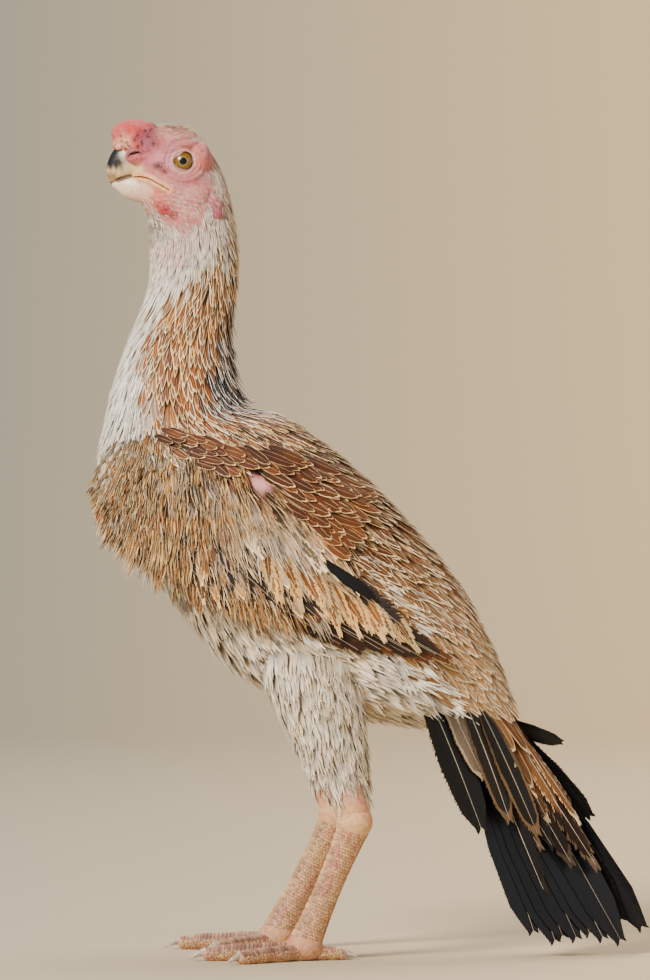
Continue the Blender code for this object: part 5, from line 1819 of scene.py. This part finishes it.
def shoulder_feathers(side):
    """Small feathers on the wing's blunt front, which faces the breast: roots found from ahead."""
    share = np.linspace(0, 1, 5)
    places, normals = [], []
    for z in np.arange(220, 286, 4.4):
        for out in np.arange(27, 56, 3.8):
            start = Vector((-170, side * (out + drift(0.9)), z + drift(1.1)))
            root, facing = skin_surface.ray_cast(start, Vector((1, 0, 0)), 96)[:2]
            if root is None:
                continue
            down = Vector((0.25, 0.2 * side, -1))
            down = (down - facing * down.dot(facing)).normalized() * between(11, 16)
            near = [skin_surface.find_nearest(root + down * part)[:2] for part in share]
            places.append([place + normal * (2.2 * part - 0.3) for (place, normal),
                part in zip(near, share)])
            normals.append([normal for place, normal in near])
    places, normals = np.array(places), np.array(normals)
    n = len(places)
    half = luck(n, 1.9, 2.6)[:, None] * outline(DOWN_BLADE, 4)[None]
    pith = toned(toned(GOLD, MID_BROWN, luck(n)), CREAM, luck(n, 0, 0.7))
    edge = toned(WHITE, CREAM, luck(n, 0.3, 1))
    return Batch(places, normals, half, pith, edge, luck(n, 0.3, 0.6),
        wing_map(side, np.zeros(n), places[:, 0, 2] - SHOULDER_AT[1]))


for side_name, side in SIDES:
    flights = flight_feathers(side)

    def on_this_wing(name, batch, section, nodes=()):
        grow(name + "_" + side_name, batch, section, nodes=nodes)

    on_this_wing("flight_barbs", barbs_of(flights, 56, slant=0.14, ragged=0.2), BARB,
        ("wing_" + side_name,))
    edge_feathers = worn_edge(side)
    small = bare_free(coverts(side), side)
    widest = small.half.max(1)
    whole, torn = (small.shade > 0.8) & (widest > 3.6), (small.shade > 0.94) & (widest > 2.9)
    quills = stacked([quills_of(edge_feathers, 0.2), quills_of(small, 0.17, (232, 208, 166))])
    strands = locks_of(chosen(small, ~whole), 6, spread=0.95, ragged=0.45, lift=0.5, fine=1.15, vary=0.2)
    on_this_wing("covert_strands", bare_free(strands, side), (3, 0.3, 0.2))
    barbs = stacked([barbs_of(chosen(small, torn), 20, slant=0.36, ragged=0.4, clump=3),
        barbs_of(edge_feathers, 26, slant=0.3, ragged=0.35, fine=0.6)])
    on_this_wing("covert_barbs", bare_free(barbs, side), BARB)
    on_this_wing("small_coverts", bare_free(chosen(small, whole & ~torn), side), (6, 0.05, 0.2))
    on_this_wing("covert_quills", quills, (4, 0.8, 0))
    on_this_wing("flight_quills", quills_of(flights, 0.45, (168, 150, 128)), (6, 0.8, 0))
    on_this_wing("scapulars", bare_free(scapulars(side), side, 2.6), LACED)
for side_name, side in SIDES:
    locks = locks_of(shoulder_feathers(side), 4, ragged=0.4, fine=1.5)
    grow("shoulder_feathers_" + side_name, locks, LOCK)

# %% [markdown]
# ## The tail
# The long tail feathers are blue-black and glossy, with a thin pale shaft. They lie in two leaning
# halves, like a roof. Barbs alone left saw-toothed edges, so each has a solid vane with barbs round
# it. Shorter coverts with buff edges hang over their roots, and seven loose feathers stand out.

# %% Tail quills and coverts
TAIL_LONG = 150.0
TAIL_ROOT = 24.0                # how far along the tail's axis its long feathers begin
TAIL_PAIRS = 7
TAIL_ROOF = math.radians(22)
TAIL_HALF = 11.5


def tail_map(side, share, row):
    """The tail's feathers side by side, a band for each row of them."""
    x = 0.25 + side * (0.02 + 0.22 * np.asarray(share)) + 0.5 * (row % 2)
    return np.column_stack([x, np.full(len(x), 0.1 + 0.12 * row)])


def straight(root, heading, reach, facing, bow):
    """Straight shafts from their roots, bowed outwards by a height for each point."""
    t = np.linspace(0, 1, len(bow))
    lengths = (reach[:, None] * t)[..., None]
    return root[:, None] + heading[:, None] * lengths + facing * bow[None, :, None]


def tail_quills():
    rows = []
    for side in (LEFT, RIGHT):
        share = np.linspace(0, 1, TAIL_PAIRS)
        down = -TAIL_ABOVE * math.cos(TAIL_ROOF) + side * math.sin(TAIL_ROOF) * ACROSS
        facing = TAIL_ABOVE * math.sin(TAIL_ROOF) + side * math.cos(TAIL_ROOF) * ACROSS
        fan = np.radians(-3.0 - 4.0 * side + 10.0 * share + drift(0.8, TAIL_PAIRS))
        heading = TAIL_AHEAD * np.cos(fan)[:, None] + down * np.sin(fan)[:, None]
        root = (TAIL_AT + TAIL_AHEAD * TAIL_ROOT + TAIL_ABOVE * (7.0 - 20.0 * share)[:, None]
            + side * ACROSS * (5.2 + 1.5 * share)[:, None])
        length = (TAIL_LONG - TAIL_ROOT) * (1 - 0.16 * share) * between(0.95, 1.02, TAIL_PAIRS)
        t = np.linspace(0, 1, 13)
        places = straight(root, heading, length, facing, 3.0 * t * (1 - 0.5 * t))
        half = TAIL_HALF * outline(QUILL_BLADE, 12)[None] * between(0.9, 1, (TAIL_PAIRS, 1))
        rows.append(Batch(places, np.broadcast_to(facing, places.shape), half, rgb(5, 11, 20),
            rgb(14, 14, 16), 0.9, tail_map(side, share, 0)))
    return stacked(rows)


def tail_coverts():
    tiers = ((-4, 40, 11, 3.4), (6, 52, 11, 4), (16, 66, 9, 5.6), (22, 86, 5, 7))
    along_stub, heights, widths = np.array(TAIL_STUB).T
    t = np.linspace(0, 1, 9)
    rows = []
    for side in (LEFT, RIGHT):
        for row, (along, length, count, half) in enumerate(tiers):
            share = np.linspace(0, 1, count)
            angle = np.radians(84 - 150 * share + drift(4, count))
            up, out = np.sin(angle), np.cos(angle)
            high, wide = np.interp(along, along_stub, heights) - 1.0, np.interp(along, along_stub,
                widths) - 0.6
            normal = unit(TAIL_ABOVE * up[:, None] * wide + side * ACROSS * out[:, None] * high)
            root = (TAIL_AT + TAIL_AHEAD * along + TAIL_ABOVE * (up * high)[:, None]
                + side * ACROSS * (out * wide)[:, None])
            heading = unit(TAIL_AHEAD + normal * 0.05 + TAIL_ABOVE * drift(0.05, (count, 1)))
            reach = length * luck(count, 0.85, 1.1)
            places = straight(root, heading, reach, normal[:, None], 1.6 * np.sin(np.pi * 0.8 * t))
            normals = np.broadcast_to(normal[:, None], places.shape)
            width = half * outline(QUILL_BLADE, 8)[None] * between(0.85, 1.1, (count, 1))
            rich = luck(count)
            upper = fade(-0.2, 0.7, up) * (row < 3)
            pith = toned(toned(BLACK, DARK_BROWN, rich), toned(MID_BROWN, rgb(146, 100, 56), rich), upper)
            edge = toned(toned(BLACK, rgb(120, 98, 74), 0.7 * rich), CREAM, upper)
            rows.append(Batch(places, normals, width, pith, edge, luck(count, 0.8, 0.9),
                tail_map(side, share, row + 1)))
    return rows


GLOSSY = ((8, 9, 12), (12, 11, 11))
LOOSE_FEATHERS = (              # along and above the tail's axis at root and tip, y, half width, colours
    (-24, -20, 58, -30, -23, 10.5, *GLOSSY),
    (-14, -12, 34, -15, -24, 6.5, (130, 112, 92), (196, 172, 140)),
    (-8, -4, 62, -14, -22, 7, (26, 20, 16), (98, 76, 52)),
    (2, 2, 76, -4, -21, 7, (20, 16, 14), (120, 92, 60)),
    (14, 12, 40, 33, 12, 5, *GLOSSY),
    (20, 12, 84, 27, 13, 8, *GLOSSY),
    (30, 8, 112, 16, 13, 9, *GLOSSY),
)


def side_feathers():
    """The loose feathers that stand out beside the tail."""
    rows = []
    t = np.linspace(0, 1, 9)[:, None]
    for row, (from_along, from_above, to_along, to_above, y, half, pith, edge) in enumerate(LOOSE_FEATHERS):
        places = (TAIL_AT + TAIL_AHEAD * (from_along + (to_along - from_along) * t)
            + TAIL_ABOVE * (from_above + (to_above - from_above) * t ** 1.3) + y * ACROSS * (1 - 0.15 * t))
        facing = unit(math.copysign(1, y) * ACROSS + TAIL_ABOVE * 0.25)
        rows.append(Batch(places[None], np.broadcast_to(facing, (1, 9, 3)),
            half * outline(QUILL_BLADE, 8)[None], rgb(*pith), rgb(*edge), 0.8,
            np.array([[0.1 + 0.1 * row, 0.85]])))
    return stacked(rows)


TAIL_FINISH = feather_finish("black_tail_feather", roughness=0.4, sheen=0, specular=0.28, barb_lines=0.3)
long_quills = tail_quills()
loose = side_feathers()
for name, batch, section, nodes in (
        ("tail_barbs", barbs_of(long_quills, 96, slant=0.1, ragged=0.1, clump=3), (3, 0.25, 0), ("tail",)),
        ("loose_tail_barbs", barbs_of(loose, 64, slant=0.14, ragged=0.2, clump=3), (3, 0.25, 0), ()),
        ("tail_vanes", narrowed(long_quills, 0.97), (6, 0.03, 0.02), ()),
        ("loose_tail_vanes", narrowed(loose, 0.9), (6, 0.03, 0.02), ()),
        ("tail_shafts", quills_of(long_quills, 0.55, (150, 142, 128)), (6, 0.9, 0), ())):
    grow(name, batch, section, TAIL_FINISH, nodes)
tail_rows = tail_coverts()
grow("upper_tail_coverts", stacked([tail_rows[k] for k in (0, 1, 4, 5)]), LACED)
lower_rows = [tail_rows[k] for k in (2, 3, 6, 7)]
lower_barbs = stacked([barbs_of(row, 44, slant=0.2, ragged=0.35) for row in lower_rows])
grow("tail_covert_barbs", lower_barbs, BARB)
grow("tail_covert_shafts", stacked([quills_of(row, 0.3) for row in lower_rows + [loose]]),
    (4, 0.9, 0))

# %% [markdown]
# ## Thighs
# Short soft feathers clothe the thigh down to the hock, whitish with a little buff.

# %% Thigh feathers
for side_name, side in SIDES:
    sheet = thigh_sheets[side]
    u, v = roots_on(sheet, 1, 56, (0,), (4.6,), (3.8,), 0, 48)
    keep = luck(len(u)) > 0.85 * fade(40, 56, u)
    u, v = u[keep], v[keep]
    n = len(u)
    share = u / 64
    length = np.interp(share, (0.1, 0.6, 0.9), (19, 14, 9)) * luck(n, 0.85, 1.2)
    half = np.interp(share, (0.1, 0.6, 0.9), (2.8, 2.2, 1.4)) * luck(n, 0.85, 1.15)
    depth = np.interp(share, (0, 1), (4.6, 1.4))
    walked = laid(sheet, u, v, drift(0.22, n), length, half, DOWN_BLADE, depth,
        luck(n, 0, 1.8) * (1 - 0.6 * share), steps=5)
    pith = toned(CREAM, WHITE, luck(n, 0.3, 1))
    edge = toned(WHITE, CREAM, luck(n, 0, 0.8))
    root = np.column_stack([0.02 + 0.96 * np.mod(v / 48, 1), 0.02 + 0.96 * share])
    thigh = Batch(*walked, pith, edge, 0.5, root)
    grow("thigh_feathers_" + side_name, locks_of(thigh, 4, ragged=0.4, fine=1.5), LOCK)

# %% [markdown]
# ## Scales and claws
# Toes and the front of the shank carry broad plates, and its sides small round scales. Both are
# thick blades laid over the limb's own sheet, the plates across it and the scales along it, so the
# same tree makes them. Claws are short worn horn, blunt at the tip.

# %% Plates, scales and claws
PLATE_BLADE = ((0, 0.4), (0.12, 0.95), (0.88, 0.95), (1, 0.4))
SCALE_BLADE = ((0, 0.55), (0.5, 1), (1, 0.5))
LIMB_SIDES = 24
SCALE_FINISH = feather_finish("leg_scale", roughness=0.44, sheen=0, specular=0.45, barb_lines=0.1)


def limb_map(row, u, v):
    return np.column_stack([0.02 + 0.96 * np.mod(v / LIMB_SIDES, 1),
        0.02 + 0.095 * (row + np.clip(u / 60, 0, 1))])


def plates(sheet, row, u, start, reach, half, pith, edge, lift=0.12):
    """Broad plates: each starts at (u, start) and reaches round the limb by an angle in degrees."""
    n, v = len(u), np.full(len(u), float(start))
    radius = np.linalg.norm(sheet.read(sheet.round, u, v), axis=-1) * LIMB_SIDES / (2 * np.pi)
    walked = laid(sheet, u, v, np.pi / 2, np.radians(reach) * radius, half * luck(n, 0.92, 1.08),
        PLATE_BLADE, -lift, lift, steps=7)
    return Batch(*walked, pith, edge, luck(n, 0.68, 0.8), limb_map(row, u, v))


def leg_scales(side):
    broad, small = [], []
    for row, (digit, spread, length, thick) in enumerate(TOES):
        sheet = Sheet(limb_grid(*toe_line(side, spread, length, thick), LIMB_SIDES))
        u = np.arange(2, 46, 2.3 * 47 / length)
        pith = toned(rgb(224, 176, 142), rgb(204, 140, 118), luck(len(u)))
        edge = toned(rgb(172, 116, 84), rgb(120, 76, 52), luck(len(u)))
        broad.append(plates(sheet, row, u, LIMB_SIDES * (0.25 - 78 / 360), 156, 1.15, pith, edge))
        at, round_at = roots_on(sheet, 2, 45, (0,), (1.5,), (1.4,), -2.2, 1.2)
        for v in (round_at, LIMB_SIDES / 2 - round_at):
            small.append((sheet, row, at, v, 1.7, 0.75))
    shank = Sheet(limb_grid(*shank_line(side), LIMB_SIDES))
    for hand in (-1, 1):
        u = np.arange(3.0 + 1.6 * hand, 56, 3.4)
        pith = toned(rgb(230, 192, 130), rgb(224, 164, 124), luck(len(u)))
        start = LIMB_SIDES * (0.75 + (0.0 if hand > 0 else -62 / 360))
        broad.append(plates(shank, 5, u, start, 62, 1.9, pith, rgb(208, 146, 106)))
    for low, high in ((-3.4, 3.4), (8.6, 15.4), (4.2, 7.8)):
        at, v = roots_on(shank, 2, 57, (0,), (1.75,), (1.7,), low, high, 0.12)
        small.append((shank, 6, at, v, 1.9, 0.86))
    scales = []
    for sheet, row, at, v, length, half in small:
        n = len(at)
        pink = fade(-0.2, 0.6, rippled(sheet.place(at, v), 18, 41))
        pith = toned(rgb(230, 188, 130), rgb(216, 134, 116), 0.8 * pink)
        edge = toned(rgb(206, 132, 112), rgb(150, 98, 70), 0.8 if row < 4 else 0)
        walked = laid(sheet, at, v, drift(0.1, n), length, half, SCALE_BLADE, -0.15, 0.15, steps=2)
        scales.append(Batch(*walked, pith, edge, 0.76, limb_map(row, at, v)))
    return stacked(broad), stacked(scales)


def claw_finish():
    finish, tree, shader = new_finish("claw_horn", 0.4, 0.5)
    worn = ranged(tree, noise(tree, 420, 4), 0.3, 0.7)
    shade = mixed(tree, worn, rgb(150, 130, 114), rgb(206, 194, 180))
    tree.links.new(shade, shader.inputs["Base Color"])
    bumped(tree, shader, noise(tree, 900, 4), 0.3, 0.0003)
    return finish


CLAW_LENGTH = 8.5
CLAW_FINISH = claw_finish()
for side_name, side in SIDES:
    broad, small = leg_scales(side)
    grow("leg_plates_" + side_name, broad, (6, 0.16, 0), SCALE_FINISH)
    grow("leg_small_scales_" + side_name, small, (5, 0.2, 0), SCALE_FINISH)
    for digit, spread, length, thick in TOES:
        path, halves = toe_line(side, spread, length, thick)
        t = np.linspace(0, 1, 14)
        radius = 0.8 * thick
        places = path[-1] + toe_heading(side, spread) * (CLAW_LENGTH * t - 1.5)[:, None]
        places[:, 2] = 1.4 + (radius - 0.8 + 0.7 * np.sin(np.pi * t)) * (1 - t) ** 0.8
        thin = radius * 0.62 * (1 - t) + 0.5 * t
        claw = grid_object(f"nail_{side_name}_{digit}",
            closed_end(limb_grid(places, np.stack([thin, 0.8 * thin], -1), 18)))
        worn_by_bird(claw, "claws", CLAW_FINISH, f"claw_{side_name}_{digit}")

# %% Finish
print("triangles of the coat", sum(grown))
